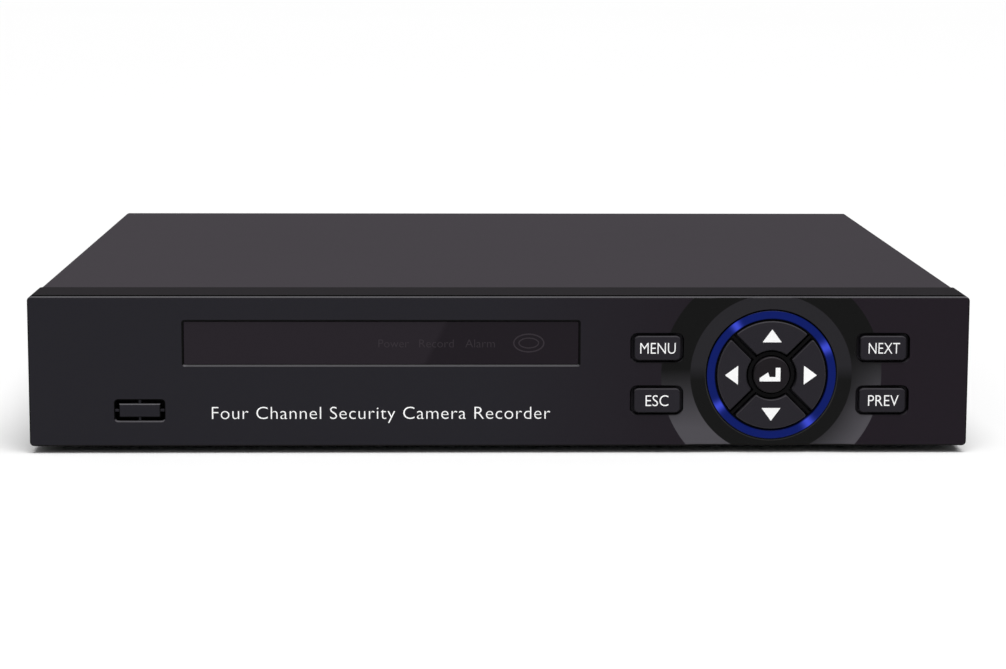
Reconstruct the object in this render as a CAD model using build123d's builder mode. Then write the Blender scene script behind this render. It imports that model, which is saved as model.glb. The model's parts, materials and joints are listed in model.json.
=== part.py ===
from build123d import *
from math import atan2, cos, degrees, radians, sin
import os

# A desktop video recorder for security cameras: a folded steel case with a moulded front bezel, nine sprung
# keys over a key board, and a main board whose sockets look out through the rear panel, beside a hard drive.
# Millimetres, +Z up, front towards -Y, origin under the middle of the whole object on the table.

os.makedirs("parts", exist_ok=True)

# Case
CASE_W = 255.0  # bezel, side to side
PANEL_H = 41.0  # bezel, bottom edge to top edge
CASE_DEPTH = 226.0  # bezel face to the cover's rear edge
FOOT_H = 2.0  # the bezel's lower edge stands this far above the table
SHEET = 0.8  # steel of the tray and the cover
REAR_INSET = 0.5  # the rear panel stands in from the cover's rear edge
REAR_REACH = 11.5  # the video sockets reach this far beyond the rear panel
SLIP = 0.2  # gap between sheet parts that slide together
BEND_R = 1.2

# Bezel
BEZEL_DEPTH = 20.0
BEZEL_WALL = 1.6
PANEL_T = 2.2  # front wall of the bezel
PANEL_CORNER = 1.2
EDGE_R = 0.5
SEAM_AT, SEAM_W, SEAM_DEPTH = 1.1, 2.3, 0.5  # a fine groove all round, just behind the front edge
COVER_DROP = 0.3  # the cover lies this far below the bezel's top
COVER_INSET = 0.3  # and this far in from its sides

# Keypad: places are measured from the middle of the bezel's lower edge
PAD_X, PAD_Z = 73.8, 19.6
KEY_PROUD = 0.6
KEY_TRAVEL = 0.5
RING_OUT, RING_IN = 17.65, 15.3
DISC_R, DISH_R, DISH_DEPTH = 22.0, 30.0, 0.5
SECTOR_OUT, SECTOR_IN = 14.75, 6.8
SECTOR_GAP = 1.03  # from a spoke's middle line to the key beside it
ENTER_R = 5.0
SPOKE_W = 0.8
HUB_IN, HUB_OUT = 5.35, 6.3
RIM_IN, RIM_OUT = 14.9, 15.95
FRAME_BACK = 3.2
KEY_SIZE, KEY_CORNER = (12.6, 6.6), 1.35
POCKET_SIZE, POCKET_CORNER = (14.2, 7.8), 1.75
POCKET_FLARE = (0.25, 0.6)  # widening of the mouth, and how deep it goes
KEY_FLANGE = (15.8, 9.4)
FLANGE_T = 1.0
POST_R = 1.6
SIDE_KEYS = {"menu": (42.7, 27.0), "esc": (42.7, 12.6), "next": (104.1, 27.0), "prev": (104.1, 12.6)}
SECTORS = {"right": 0, "up": 90, "left": 180, "down": 270}
SWITCH_R = 10.7  # sector switches, from the middle of the pad

# Depths behind the bezel's face
SWITCH_TIP = 7.0
SWITCH_FRONT = 8.5
BOARD_FRONT = 12.0
BOARD_T = 1.6
SWITCH_W = 6.0
PLUNGER_R, PLUNGER_LEN = 1.7, 2.7

# Display window
WINDOW = (107.0, 11.9)
WINDOW_AT = (-32.1, 28.3)
WINDOW_RECESS, LENS_T, WINDOW_LEDGE = 0.4, 1.0, 1.5
WINDOW_FLARE = (0.45, WINDOW_RECESS)
LAMPS_X = (-28.8, -17.2, -5.4)
EYE_X = 7.8

# Front socket knock-out
BLANK_AT = (-97.6, 9.85)
BLANK_SLOT, BLANK_TAG, BRIDGE_W = (13.3, 5.75), (11.2, 3.7), 0.6
BLANK_FLARE = (0.3, 0.4)
TAG_BEVEL = 0.25
BRIDGE_AT, BRIDGE_T = 0.4, 0.9

# Fasteners
M3_R, M3_CLEAR = 1.5, 1.7
TAP_R, TAP_HOLE, TAP_CLEAR = 1.2, 1.25, 1.6
BOARD_BOSSES = ((-34.5, 6.0), (-34.5, 36.6), (28.0, 36.6), (54.0, 5.0), (93.6, 5.0), (110.5, 36.0))
CORNER_BOSSES = ((-118.0, 8.0), (-118.0, 33.0), (118.0, 8.0), (118.0, 33.0))

# Worked out from the sizes above
FACE_Y = -(KEY_PROUD + CASE_DEPTH - REAR_INSET + REAR_REACH) / 2 + KEY_PROUD
REAR_Y = FACE_Y + CASE_DEPTH - REAR_INSET  # outer face of the rear panel
BASE_Z = FOOT_H + COVER_DROP
FLOOR_Z = BASE_Z + SHEET
COVER_TOP = FOOT_H + PANEL_H - COVER_DROP
COVER_W = CASE_W - 2 * COVER_INSET
COVER_FRONT_Y = FACE_Y + BEZEL_DEPTH + SLIP
BASE_W = COVER_W - 2 * SHEET - 2 * SLIP
BASE_LEN = REAR_Y - COVER_FRONT_Y
STANDOFF_H = 5.0
MAIN_TOP = FLOOR_Z + STANDOFF_H + BOARD_T
BACK_WALL_Y = REAR_Y - SHEET  # inner face of the rear panel

# Working planes
FRONT = Plane(origin=(0, FACE_Y, FOOT_H), x_dir=(1, 0, 0), z_dir=(0, -1, 0))
PAD = Plane(origin=(PAD_X, FACE_Y, FOOT_H + PAD_Z), x_dir=(1, 0, 0), z_dir=(0, -1, 0))
PAD_SECTION = Plane(origin=(PAD_X, FACE_Y, FOOT_H + PAD_Z), x_dir=(1, 0, 0), z_dir=(0, 0, 1))
PAD_AXIS = Axis((PAD_X, FACE_Y, FOOT_H + PAD_Z), (0, 1, 0))
REAR = Plane(origin=(0, REAR_Y, MAIN_TOP), x_dir=(-1, 0, 0), z_dir=(0, 1, 0))
UNDER = Plane.XY.offset(BASE_Z)
FLOOR = Plane.XY.offset(FLOOR_Z)
BOARD = Plane.XY.offset(MAIN_TOP)

# Inside the case
MAIN_SIZE = (216.0, 78.0)
MAIN_Y = BACK_WALL_Y - 1.0 - MAIN_SIZE[1] / 2
MAIN_HOLES = [(x, MAIN_Y + dy) for x in (-103.0, 0.0, 103.0) for dy in (-34.5, 10.0)]
DRIVE_SIZE, WELL_DEPTH = (147.0, 101.6, 26.1), 14.0
DRIVE_AT = (-47.5, COVER_FRONT_Y + SHEET + 4.2 + DRIVE_SIZE[1] / 2)
DRIVE_HOLES = [(DRIVE_AT[0] + dx, DRIVE_AT[1] + dy) for dx in (-32.0, 44.45 - 32.0) for dy in (-47.6, 47.6)]
DIMPLE_R, DIMPLE_H = 6.5, 2.0
FEET = [(x, y) for x in (-104.0, 104.0) for y in (FACE_Y + 42.0, REAR_Y - 24.0)]
FOOT_R, FOOT_STEM_R = 7.0, 2.2
SIDE_SCREWS_Y = (FACE_Y + 48.0, REAR_Y - 26.0)
SIDE_SCREW_Z = BASE_Z + 8.0
REAR_SCREWS_X = (-112.0, 0.0, 112.0)
REAR_SCREW_Z = COVER_TOP - 4.8
SIDE_WALL_H = 14.0
FRONT_WALL_H = 35.5
RIBBON_X, RIBBON_W = 90.0, 12.7
RIBBON_Z = FOOT_H + 20.5

# Rear sockets, left to right as seen from behind, and their heights above the main board
VIDEO_X, VIDEO_Z = (-96.0, -78.0, -60.0, -42.0), 7.6
AUDIO_X, AUDIO_Z = (-25.0, -12.0), 7.0
VGA_AT, JACKSCREW_SPACING, JACKSCREW_REACH = (13.0, 6.8), 25.0, 5.0
HDMI_AT, HDMI_SIZE = (39.0, 3.6), (15.0, 6.0)
LAN_AT, LAN_SIZE, LAN_DEPTH = (58.0, 7.0), (16.0, 13.6), 21.0
USB_AT, USB_SIZE, USB_DEPTH, USB_PITCH = (77.0, 8.2), (13.2, 15.9), 17.5, 7.8
POWER_AT = (95.0, 6.2)
BARREL_R, NECK_R = 4.8, 6.2


def slab(plane, size, amount, at=((0, 0),), corner=0.0, mode=Mode.ADD):
    """Rectangles drawn on a plane and extruded along its normal, or against it where amount is negative."""
    with BuildSketch(plane) as outline:
        with Locations(*at):
            if corner:
                RectangleRounded(*size, corner)
            else:
                Rectangle(*size)
    extrude(outline.sketch, amount=amount, mode=mode)


def rod(plane, radius, amount, at=((0, 0),), mode=Mode.ADD):
    """Circles drawn on a plane and extruded along its normal, or against it where amount is negative."""
    with BuildSketch(plane) as outline:
        with Locations(*at):
            Circle(radius)
    extrude(outline.sketch, amount=amount, mode=mode)


def turned(section, axis, points, mode=Mode.ADD):
    """A closed outline on a section plane, turned about an axis."""
    with BuildSketch(section) as outline:
        with BuildLine():
            Polyline(*points, close=True)
        make_face()
    revolve(outline.sketch, axis=axis, mode=mode)


def save(shape, name):
    """Labels a finished piece and writes its file."""
    shape.label = name
    export_step(shape, f"parts/{name}.step")


def behind(depth):
    """The plane that lies this far behind the bezel's face."""
    return FRONT.offset(-depth)


def widen_mouths(size, corner, flare, at):
    """Slopes the rims of rectangular openings in the bezel's face."""
    spread, depth = flare
    with BuildSketch(FRONT) as mouth:
        with Locations(*at):
            RectangleRounded(size[0] + 2 * spread, size[1] + 2 * spread, corner + spread)
    extrude(mouth.sketch, amount=-depth, taper=degrees(atan2(spread, depth)), mode=Mode.SUBTRACT)


def pad_plane(angle):
    """The keypad's plane, turned so that its X points at a sector."""
    turn = radians(angle)
    return Plane(origin=PAD.origin, x_dir=(cos(turn), 0, sin(turn)), z_dir=(0, -1, 0))


def on_rim(edge):
    """Whether an edge of the bezel runs round the outside of its front face."""
    place = edge.center()
    on_side = abs(abs(place.X) - CASE_W / 2) < PANEL_CORNER
    on_end = abs(abs(place.Z - FOOT_H - PANEL_H / 2) - PANEL_H / 2) < 0.01
    across_front = place.Y < FACE_Y + 1 and edge.bounding_box().size.Y < 1
    return across_front and (on_side or on_end)


# ---- Bezel, window and light ring ----

with BuildPart() as front_bezel:
    slab(FRONT, (CASE_W, PANEL_H), -BEZEL_DEPTH, at=((0, PANEL_H / 2),), corner=PANEL_CORNER)
    with BuildSketch(behind(SEAM_AT)) as seam:
        with Locations((0, PANEL_H / 2)):
            Rectangle(CASE_W + 1, PANEL_H + 1)
            seam_floor = (CASE_W - 2 * SEAM_DEPTH, PANEL_H - 2 * SEAM_DEPTH)
            RectangleRounded(*seam_floor, PANEL_CORNER - SEAM_DEPTH, mode=Mode.SUBTRACT)
    extrude(seam.sketch, amount=-SEAM_W, mode=Mode.SUBTRACT)
    slab(
        behind(PANEL_T),
        (CASE_W - 2 * BEZEL_WALL, PANEL_H - 2 * BEZEL_WALL),
        -BEZEL_DEPTH,
        at=((0, PANEL_H / 2),),
        corner=0.6,
        mode=Mode.SUBTRACT,
    )
    # a shallow groove round the keypad, which runs out over the bezel's upper and lower edges
    groove = ((RING_OUT, 0), (DISC_R, DISH_DEPTH), (DISH_R, 0), (DISH_R, -1), (RING_OUT, -1))
    turned(PAD_SECTION, PAD_AXIS, groove, mode=Mode.SUBTRACT)
    fillet(front_bezel.edges().filter_by(on_rim), EDGE_R)
    # the light guide's opening, with a sloping rim
    hole_r = RING_OUT + 0.1
    rod(PAD, hole_r, -PANEL_T, mode=Mode.SUBTRACT)
    rim_slope = ((RING_OUT, -0.2), (hole_r + 0.45, -0.2), (hole_r, 0.35), (RING_OUT, 0.35))
    turned(PAD_SECTION, PAD_AXIS, rim_slope, mode=Mode.SUBTRACT)
    # the window's seat with its sloping rim, and the opening behind it
    widen_mouths(WINDOW, 0.3, WINDOW_FLARE, (WINDOW_AT,))
    slab(FRONT, WINDOW, -(WINDOW_RECESS + LENS_T), at=(WINDOW_AT,), corner=0.3, mode=Mode.SUBTRACT)
    opening = (WINDOW[0] - 2 * WINDOW_LEDGE, WINDOW[1] - 2 * WINDOW_LEDGE)
    slab(FRONT, opening, -PANEL_T, at=(WINDOW_AT,), mode=Mode.SUBTRACT)
    # openings for the four side keys
    widen_mouths(POCKET_SIZE, POCKET_CORNER, POCKET_FLARE, SIDE_KEYS.values())
    slab(FRONT, POCKET_SIZE, -PANEL_T, at=SIDE_KEYS.values(), corner=POCKET_CORNER, mode=Mode.SUBTRACT)
    # the knock-out: a slot all round the tag, which four thin bridges hold
    widen_mouths(BLANK_SLOT, 0.8, BLANK_FLARE, (BLANK_AT,))
    slab(FRONT, BLANK_SLOT, -PANEL_T, at=(BLANK_AT,), corner=0.8, mode=Mode.SUBTRACT)
    with BuildSketch(behind(TAG_BEVEL)) as tag:
        with Locations(BLANK_AT):
            Rectangle(*BLANK_TAG)
    extrude(tag.sketch, amount=TAG_BEVEL, taper=45)
    extrude(tag.sketch, amount=TAG_BEVEL - PANEL_T)
    slab(behind(BRIDGE_AT), (BLANK_SLOT[0], BRIDGE_W), -BRIDGE_T, at=(BLANK_AT,))
    slab(behind(BRIDGE_AT), (BRIDGE_W, BLANK_SLOT[1]), -BRIDGE_T, at=(BLANK_AT,))
    # screw bosses for the key board and for the tray's front wall
    rod(behind(PANEL_T), 2.4, -(BOARD_FRONT - PANEL_T), at=BOARD_BOSSES)
    rod(behind(PANEL_T + 2), TAP_HOLE, -(BOARD_FRONT - PANEL_T - 2), at=BOARD_BOSSES, mode=Mode.SUBTRACT)
    rod(behind(PANEL_T), 3.0, -(BEZEL_DEPTH - PANEL_T), at=CORNER_BOSSES)
    rod(behind(BEZEL_DEPTH - 10), TAP_HOLE, -10, at=CORNER_BOSSES, mode=Mode.SUBTRACT)
save(front_bezel.part, "front_bezel")

with BuildPart() as display_window:
    lens = (WINDOW[0] - 0.2, WINDOW[1] - 0.2)
    slab(behind(WINDOW_RECESS), lens, -LENS_T, at=(WINDOW_AT,), corner=0.25)
    fillet(display_window.faces().sort_by(Axis.Y)[0].edges(), 0.12)
save(display_window.part, "display_window")

with BuildPart() as ring_light_guide:
    ring = (
        (RING_IN, -0.2),
        (RING_OUT, -0.2),
        (RING_OUT, PANEL_T),
        (RING_OUT + 1.3, PANEL_T),
        (RING_OUT + 1.3, FRAME_BACK),
        (RING_OUT, FRAME_BACK),
        (RING_OUT, 9.4),
        (RIM_OUT + 0.05, 9.4),
        (RIM_OUT + 0.05, 1.0),
        (RING_IN, 1.0),
    )
    turned(PAD_SECTION, PAD_AXIS, ring)
    # the flange is cut flat so that it clears the bezel's lower wall
    slab(PAD, (60, 4), -BOARD_FRONT, at=((0, -PAD_Z + BEZEL_WALL - 1.9),), mode=Mode.SUBTRACT)
    front_rims = ring_light_guide.faces().sort_by(Axis.Y)[0].edges()
    fillet(front_rims, 0.3)
save(ring_light_guide.part, "ring_light_guide")

with BuildPart() as dpad_frame:
    rim = ((RIM_IN, 1.05), (RIM_OUT, 1.05), (RIM_OUT, FRAME_BACK), (RIM_IN, FRAME_BACK))
    hub = ((HUB_IN, 0.5), (HUB_OUT, 0.5), (HUB_OUT, FRAME_BACK), (HUB_IN, FRAME_BACK))
    turned(PAD_SECTION, PAD_AXIS, rim)
    turned(PAD_SECTION, PAD_AXIS, hub)
    spoke_len = RIM_IN + 0.15 - HUB_IN - 0.4
    spoke_mid = HUB_IN + 0.4 + spoke_len / 2
    for angle in SECTORS.values():
        spoke_plane = pad_plane(angle + 45).offset(-0.5)
        slab(spoke_plane, (spoke_len, SPOKE_W), -(FRAME_BACK - 0.5), at=((spoke_mid, 0),))
save(dpad_frame.part, "dpad_frame")

# ---- Keys ----


def sector(plane, inner, outer, gap, corner):
    """A quarter of a ring with rounded corners, its straight sides a gap away from the diagonals."""
    apex = gap * 2**0.5
    near_x = (apex + (2 * inner**2 - apex**2) ** 0.5) / 2
    far_x = (apex + (2 * outer**2 - apex**2) ** 0.5) / 2
    near_y, far_y = near_x - apex, far_x - apex
    with BuildSketch(plane) as quarter:
        with BuildLine():
            Line((near_x, near_y), (far_x, far_y))
            ThreePointArc((far_x, far_y), (outer, 0), (far_x, -far_y))
            Line((far_x, -far_y), (near_x, -near_y))
            ThreePointArc((near_x, -near_y), (inner, 0), (near_x, near_y))
        make_face()
        fillet(quarter.vertices(), corner)
    return quarter.sketch


def sector_key(angle):
    """One of the four arrow keys: cap, retaining flange and the post that presses its switch."""
    plane = pad_plane(angle)
    with BuildPart() as key:
        cap = sector(plane.offset(KEY_PROUD), SECTOR_IN, SECTOR_OUT, SECTOR_GAP, 0.4)
        extrude(cap, amount=-KEY_PROUD - FRAME_BACK)
        fillet(key.faces().sort_by(Axis.Y)[0].edges(), 0.35)
        flange = sector(plane.offset(-FRAME_BACK), HUB_OUT - 0.3, RIM_OUT - 0.45, 0.15, 0.3)
        extrude(flange, amount=-FLANGE_T)
        post = SWITCH_TIP - FRAME_BACK - FLANGE_T
        rod(plane.offset(-FRAME_BACK - FLANGE_T), POST_R, -post, at=((SWITCH_R, 0),))
    return key.part


def side_key(place):
    """One of the four rectangular keys."""
    with BuildPart() as key:
        slab(FRONT.offset(KEY_PROUD), KEY_SIZE, -KEY_PROUD - PANEL_T, at=(place,), corner=KEY_CORNER)
        fillet(key.faces().sort_by(Axis.Y)[0].edges(), 0.35)
        slab(behind(PANEL_T), KEY_FLANGE, -FLANGE_T, at=(place,), corner=1.0)
        rod(behind(PANEL_T + FLANGE_T), POST_R, -(SWITCH_TIP - PANEL_T - FLANGE_T), at=(place,))
    return key.part


with BuildPart() as key_enter:
    rod(PAD.offset(KEY_PROUD), ENTER_R, -KEY_PROUD - FRAME_BACK)
    fillet(key_enter.faces().sort_by(Axis.Y)[0].edges(), 0.45)
    rod(PAD.offset(-FRAME_BACK), HUB_IN + 0.4, -FLANGE_T)
    rod(PAD.offset(-FRAME_BACK - FLANGE_T), POST_R, -(SWITCH_TIP - FRAME_BACK - FLANGE_T))
save(key_enter.part, "key_enter")

for name, angle in SECTORS.items():
    save(sector_key(angle), f"key_{name}")
for name, place in SIDE_KEYS.items():
    save(side_key(place), f"key_{name}")

# ---- Key board ----

sector_places = {
    "right": (PAD_X + SWITCH_R, PAD_Z),
    "up": (PAD_X, PAD_Z + SWITCH_R),
    "left": (PAD_X - SWITCH_R, PAD_Z),
    "down": (PAD_X, PAD_Z - SWITCH_R),
}
switch_places = {**SIDE_KEYS, **sector_places, "enter": (PAD_X, PAD_Z)}


def plunger(place):
    """The round actuator of one tact switch."""
    with BuildPart() as stem:
        rod(behind(SWITCH_TIP), PLUNGER_R, -PLUNGER_LEN, at=(place,))
        chamfer(stem.faces().sort_by(Axis.Y)[0].edges(), 0.2)
    return stem.part


for name, place in switch_places.items():
    save(plunger(place), f"switch_plunger_{name}")

with BuildPart() as switch_housings:
    slab(behind(SWITCH_FRONT), (SWITCH_W, SWITCH_W), SWITCH_FRONT - BOARD_FRONT, at=switch_places.values())
    well = PLUNGER_LEN + SWITCH_TIP - SWITCH_FRONT + KEY_TRAVEL + 0.1
    rod(behind(SWITCH_FRONT), PLUNGER_R + 0.06, -well, at=switch_places.values(), mode=Mode.SUBTRACT)
save(switch_housings.part, "switch_housings")

with BuildPart() as key_board:
    slab(behind(BOARD_FRONT), (151.0, 35.0), -BOARD_T, at=((38.0, 20.5),), corner=1.0)
    rod(behind(BOARD_FRONT), TAP_CLEAR, -BOARD_T, at=BOARD_BOSSES, mode=Mode.SUBTRACT)
save(key_board.part, "key_board")

lamp_places = [(x, WINDOW_AT[1]) for x in LAMPS_X]
with BuildPart() as indicator_leds:
    rod(behind(5.0), 1.5, -5.0, at=lamp_places)
    fillet(indicator_leds.faces().filter_by(Axis.Y).group_by(Axis.Y)[0].edges(), 1.2)
    rod(behind(9.0), 1.9, -1.0, at=lamp_places)
    leg_places = [(x + dx, z) for x, z in lamp_places for dx in (-1.27, 1.27)]
    slab(behind(10.0), (0.5, 0.5), 10.0 - BOARD_FRONT, at=leg_places)
save(indicator_leds.part, "indicator_leds")

with BuildPart() as ring_leds:
    for angle in (30, 120, 210, 300):
        slab(pad_plane(angle).offset(-10.4), (1.6, 3.2), 10.4 - BOARD_FRONT, at=((RING_OUT - 0.9, 0),))
save(ring_leds.part, "ring_leds")

eye = (EYE_X, WINDOW_AT[1])
with BuildPart() as infrared_receiver:
    slab(behind(6.5), (6.4, 7.0), -4.0, at=(eye,), corner=0.5)
    eye_centre = (EYE_X, FACE_Y + 6.5, FOOT_H + WINDOW_AT[1])
    with Locations(eye_centre):
        Sphere(2.4)
    legs = [(EYE_X + dx, WINDOW_AT[1]) for dx in (-2.0, 0.0, 2.0)]
    slab(behind(10.5), (0.5, 0.5), 10.5 - BOARD_FRONT, at=legs)
save(infrared_receiver.part, "infrared_receiver")

# ---- Tray and cover ----


def across(y, z):
    """An upright plane across the case at this depth, seen from the front, with its zero at height z."""
    return Plane(origin=(0, y, z), x_dir=(1, 0, 0), z_dir=(0, -1, 0))


def d_outline(plane, width, height, corner, at):
    """The outline of a D-shaped shell: its lower side is the narrow one."""
    x, z = at
    slant = height * 0.176
    with BuildSketch(plane) as outline:
        with BuildLine():
            Polyline(
                (x - width / 2, z + height / 2),
                (x + width / 2, z + height / 2),
                (x + width / 2 - slant, z - height / 2),
                (x - width / 2 + slant, z - height / 2),
                close=True,
            )
        make_face()
        fillet(outline.vertices(), corner)
    return outline.sketch


jackscrews = [(VGA_AT[0] + side * JACKSCREW_SPACING / 2, VGA_AT[1]) for side in (-1, 1)]
video_places = [(x, VIDEO_Z) for x in VIDEO_X]
audio_places = [(x, AUDIO_Z) for x in AUDIO_X]

with BuildPart() as base_chassis:
    with BuildSketch(across(COVER_FRONT_Y, BASE_Z)) as channel:
        with Locations((0, SIDE_WALL_H / 2)):
            Rectangle(BASE_W, SIDE_WALL_H)
        fillet(channel.vertices().group_by(Axis.Y)[0], BEND_R)
        with Locations((0, SIDE_WALL_H / 2 + SHEET)):
            Rectangle(BASE_W - 2 * SHEET, SIDE_WALL_H, mode=Mode.SUBTRACT)
    extrude(amount=-BASE_LEN)
    front_wall = across(COVER_FRONT_Y, BASE_Z)
    slab(front_wall, (BASE_W - 4, FRONT_WALL_H), -SHEET, at=((0, FRONT_WALL_H / 2),))
    slab(front_wall, (RIBBON_W + 8, 10), -SHEET, at=((RIBBON_X, RIBBON_Z - BASE_Z),), mode=Mode.SUBTRACT)
    rod(behind(BEZEL_DEPTH), TAP_CLEAR, -3, at=CORNER_BOSSES, mode=Mode.SUBTRACT)
    rear_h = COVER_TOP - SHEET - SLIP - BASE_Z
    slab(across(BACK_WALL_Y, BASE_Z), (BASE_W, rear_h), -SHEET, at=((0, rear_h / 2),))
    # rear socket openings
    rod(REAR, NECK_R + 0.2, -SHEET, at=video_places, mode=Mode.SUBTRACT)
    rod(REAR, 5.15, -SHEET, at=audio_places, mode=Mode.SUBTRACT)
    extrude(d_outline(REAR, 18.4, 9.6, 2.4, VGA_AT), amount=-SHEET, mode=Mode.SUBTRACT)
    rod(REAR, 1.6, -SHEET, at=jackscrews, mode=Mode.SUBTRACT)
    hdmi_hole = (HDMI_SIZE[0] + 0.8, HDMI_SIZE[1] + 0.8)
    slab(REAR, hdmi_hole, -SHEET, at=(HDMI_AT,), corner=0.5, mode=Mode.SUBTRACT)
    slab(REAR, (LAN_SIZE[0] + 0.6, LAN_SIZE[1] + 0.6), -SHEET, at=(LAN_AT,), mode=Mode.SUBTRACT)
    slab(REAR, (USB_SIZE[0] + 0.6, USB_SIZE[1] + 0.6), -SHEET, at=(USB_AT,), mode=Mode.SUBTRACT)
    rod(REAR, 4.5, -SHEET, at=(POWER_AT,), mode=Mode.SUBTRACT)
    rear_screws = [(x, REAR_SCREW_Z - MAIN_TOP) for x in REAR_SCREWS_X]
    rod(REAR, M3_CLEAR, -SHEET, at=rear_screws, mode=Mode.SUBTRACT)
    # board standoffs, tapped, and pressed dimples that carry the drive
    rod(FLOOR, 2.6, STANDOFF_H, at=MAIN_HOLES)
    rod(UNDER, M3_R + 0.03, SHEET + STANDOFF_H, at=MAIN_HOLES, mode=Mode.SUBTRACT)
    rod(FLOOR, DIMPLE_R, DIMPLE_H, at=DRIVE_HOLES)
    rod(UNDER, DIMPLE_R - SHEET, DIMPLE_H, at=DRIVE_HOLES, mode=Mode.SUBTRACT)
    rod(UNDER, M3_CLEAR, SHEET + DIMPLE_H, at=DRIVE_HOLES, mode=Mode.SUBTRACT)
    rod(UNDER, FOOT_STEM_R + 0.05, SHEET, at=FEET, mode=Mode.SUBTRACT)
    # tapped holes in the side walls, and cooling slots in the floor
    side_holes = [(y, SIDE_SCREW_Z) for y in SIDE_SCREWS_Y]
    rod(Plane.YZ.offset(-BASE_W / 2), M3_R + 0.03, BASE_W, at=side_holes, mode=Mode.SUBTRACT)
    with BuildSketch(UNDER) as floor_slots:
        with Locations((72.0, -30.0), (20.0, MAIN_Y - 8.0), (-60.0, MAIN_Y - 8.0)):
            with GridLocations(6.0, 1.0, 9, 1):
                SlotOverall(26.0, 2.4, rotation=90)
    extrude(amount=SHEET, mode=Mode.SUBTRACT)
save(base_chassis.part, "base_chassis")

with BuildPart() as top_cover:
    cover_h = COVER_TOP - BASE_Z
    cover_len = REAR_Y + REAR_INSET - COVER_FRONT_Y
    with BuildSketch(across(COVER_FRONT_Y, BASE_Z)) as arch:
        with Locations((0, cover_h / 2)):
            Rectangle(COVER_W, cover_h)
        fillet(arch.vertices().group_by(Axis.Y)[-1], BEND_R)
        with BuildSketch(mode=Mode.SUBTRACT) as hollow:
            with Locations((0, cover_h / 2 - SHEET)):
                Rectangle(COVER_W - 2 * SHEET, cover_h)
            fillet(hollow.vertices().group_by(Axis.Y)[-1], BEND_R - SHEET)
    extrude(amount=-cover_len)
    # the lip that the rear screws pull against
    lip_y = BACK_WALL_Y - 0.1 - SHEET
    slab(across(lip_y, COVER_TOP - SHEET), (COVER_W - 14, 8), -SHEET, at=((0, -4 + 0.2),))
    lip_holes = [(x, REAR_SCREW_Z - COVER_TOP + SHEET) for x in REAR_SCREWS_X]
    rod(across(lip_y, COVER_TOP - SHEET), M3_R + 0.03, -SHEET, at=lip_holes, mode=Mode.SUBTRACT)
    rod(Plane.YZ.offset(-COVER_W / 2), M3_CLEAR, COVER_W, at=side_holes, mode=Mode.SUBTRACT)
    # cooling slots through both sides
    with BuildSketch(Plane.YZ.offset(-COVER_W / 2)) as side_slots:
        with Locations((-8.0, BASE_Z + 25.0), (62.0, BASE_Z + 25.0)):
            with GridLocations(5.0, 1.0, 10, 1):
                SlotOverall(16.0, 2.2, rotation=90)
    extrude(amount=COVER_W, mode=Mode.SUBTRACT)
save(top_cover.part, "top_cover")

with BuildPart() as rubber_feet:
    rod(Plane.XY, FOOT_R, BASE_Z, at=FEET)
    chamfer(rubber_feet.faces().group_by(Axis.Z)[0].edges(), 0.5)
    rod(UNDER, FOOT_STEM_R, SHEET + 0.1, at=FEET)
    rod(UNDER.offset(SHEET + 0.1), FOOT_STEM_R + 0.8, 1.2, at=FEET)
save(rubber_feet.part, "rubber_feet")

# ---- Screws ----


def screws(plane, places, length, head_r, head_h, shank_r, mode=Mode.ADD):
    """Pan-head screws whose heads rest on the plane, with a cross recess, and whose shanks run behind it."""
    with BuildSketch(plane) as heads:
        with Locations(*places):
            Circle(head_r)
    extrude(heads.sketch, amount=head_h, taper=14, mode=mode)
    slab(plane.offset(head_h), (head_r * 1.1, 0.5), -head_h * 0.55, at=places, mode=Mode.SUBTRACT)
    slab(plane.offset(head_h), (0.5, head_r * 1.1), -head_h * 0.55, at=places, mode=Mode.SUBTRACT)
    rod(plane, shank_r, -length, at=places)


left_side = Plane(origin=(-COVER_W / 2, 0, SIDE_SCREW_Z), x_dir=(0, -1, 0), z_dir=(-1, 0, 0))
right_side = Plane(origin=(COVER_W / 2, 0, SIDE_SCREW_Z), x_dir=(0, 1, 0), z_dir=(1, 0, 0))

with BuildPart() as cover_screws:
    screws(REAR, rear_screws, 5.0, 2.8, 1.5, M3_R)
    screws(left_side, [(-y, 0) for y in SIDE_SCREWS_Y], 4.0, 2.8, 1.4, M3_R)
    screws(right_side, [(y, 0) for y in SIDE_SCREWS_Y], 4.0, 2.8, 1.4, M3_R)
save(cover_screws.part, "cover_screws")

rear_of_wall = Plane(origin=(0, COVER_FRONT_Y + SHEET, FOOT_H), x_dir=(-1, 0, 0), z_dir=(0, 1, 0))
rear_of_board = Plane(origin=(0, FACE_Y + BOARD_FRONT + BOARD_T, FOOT_H), x_dir=(-1, 0, 0), z_dir=(0, 1, 0))
with BuildPart() as bezel_screws:
    screws(rear_of_wall, [(-x, z) for x, z in CORNER_BOSSES], 8.0, 2.6, 1.6, TAP_R)
    screws(rear_of_board, [(-x, z) for x, z in BOARD_BOSSES], 8.0, 2.6, 1.6, TAP_R)
save(bezel_screws.part, "bezel_screws")

under_drive = Plane(origin=(0, 0, BASE_Z + DIMPLE_H), x_dir=(1, 0, 0), z_dir=(0, 0, -1))
with BuildPart() as inner_screws:
    screws(BOARD, MAIN_HOLES, 6.0, 2.8, 1.6, M3_R)
    screws(under_drive, [(x, -y) for x, y in DRIVE_HOLES], 5.0, 2.8, 1.5, M3_R)
save(inner_screws.part, "inner_screws")

# ---- Main board ----

with BuildPart() as main_board:
    slab(BOARD, MAIN_SIZE, -BOARD_T, at=((0, MAIN_Y),), corner=1.5)
    rod(BOARD, M3_CLEAR, -BOARD_T, at=MAIN_HOLES, mode=Mode.SUBTRACT)
save(main_board.part, "main_board")

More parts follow.
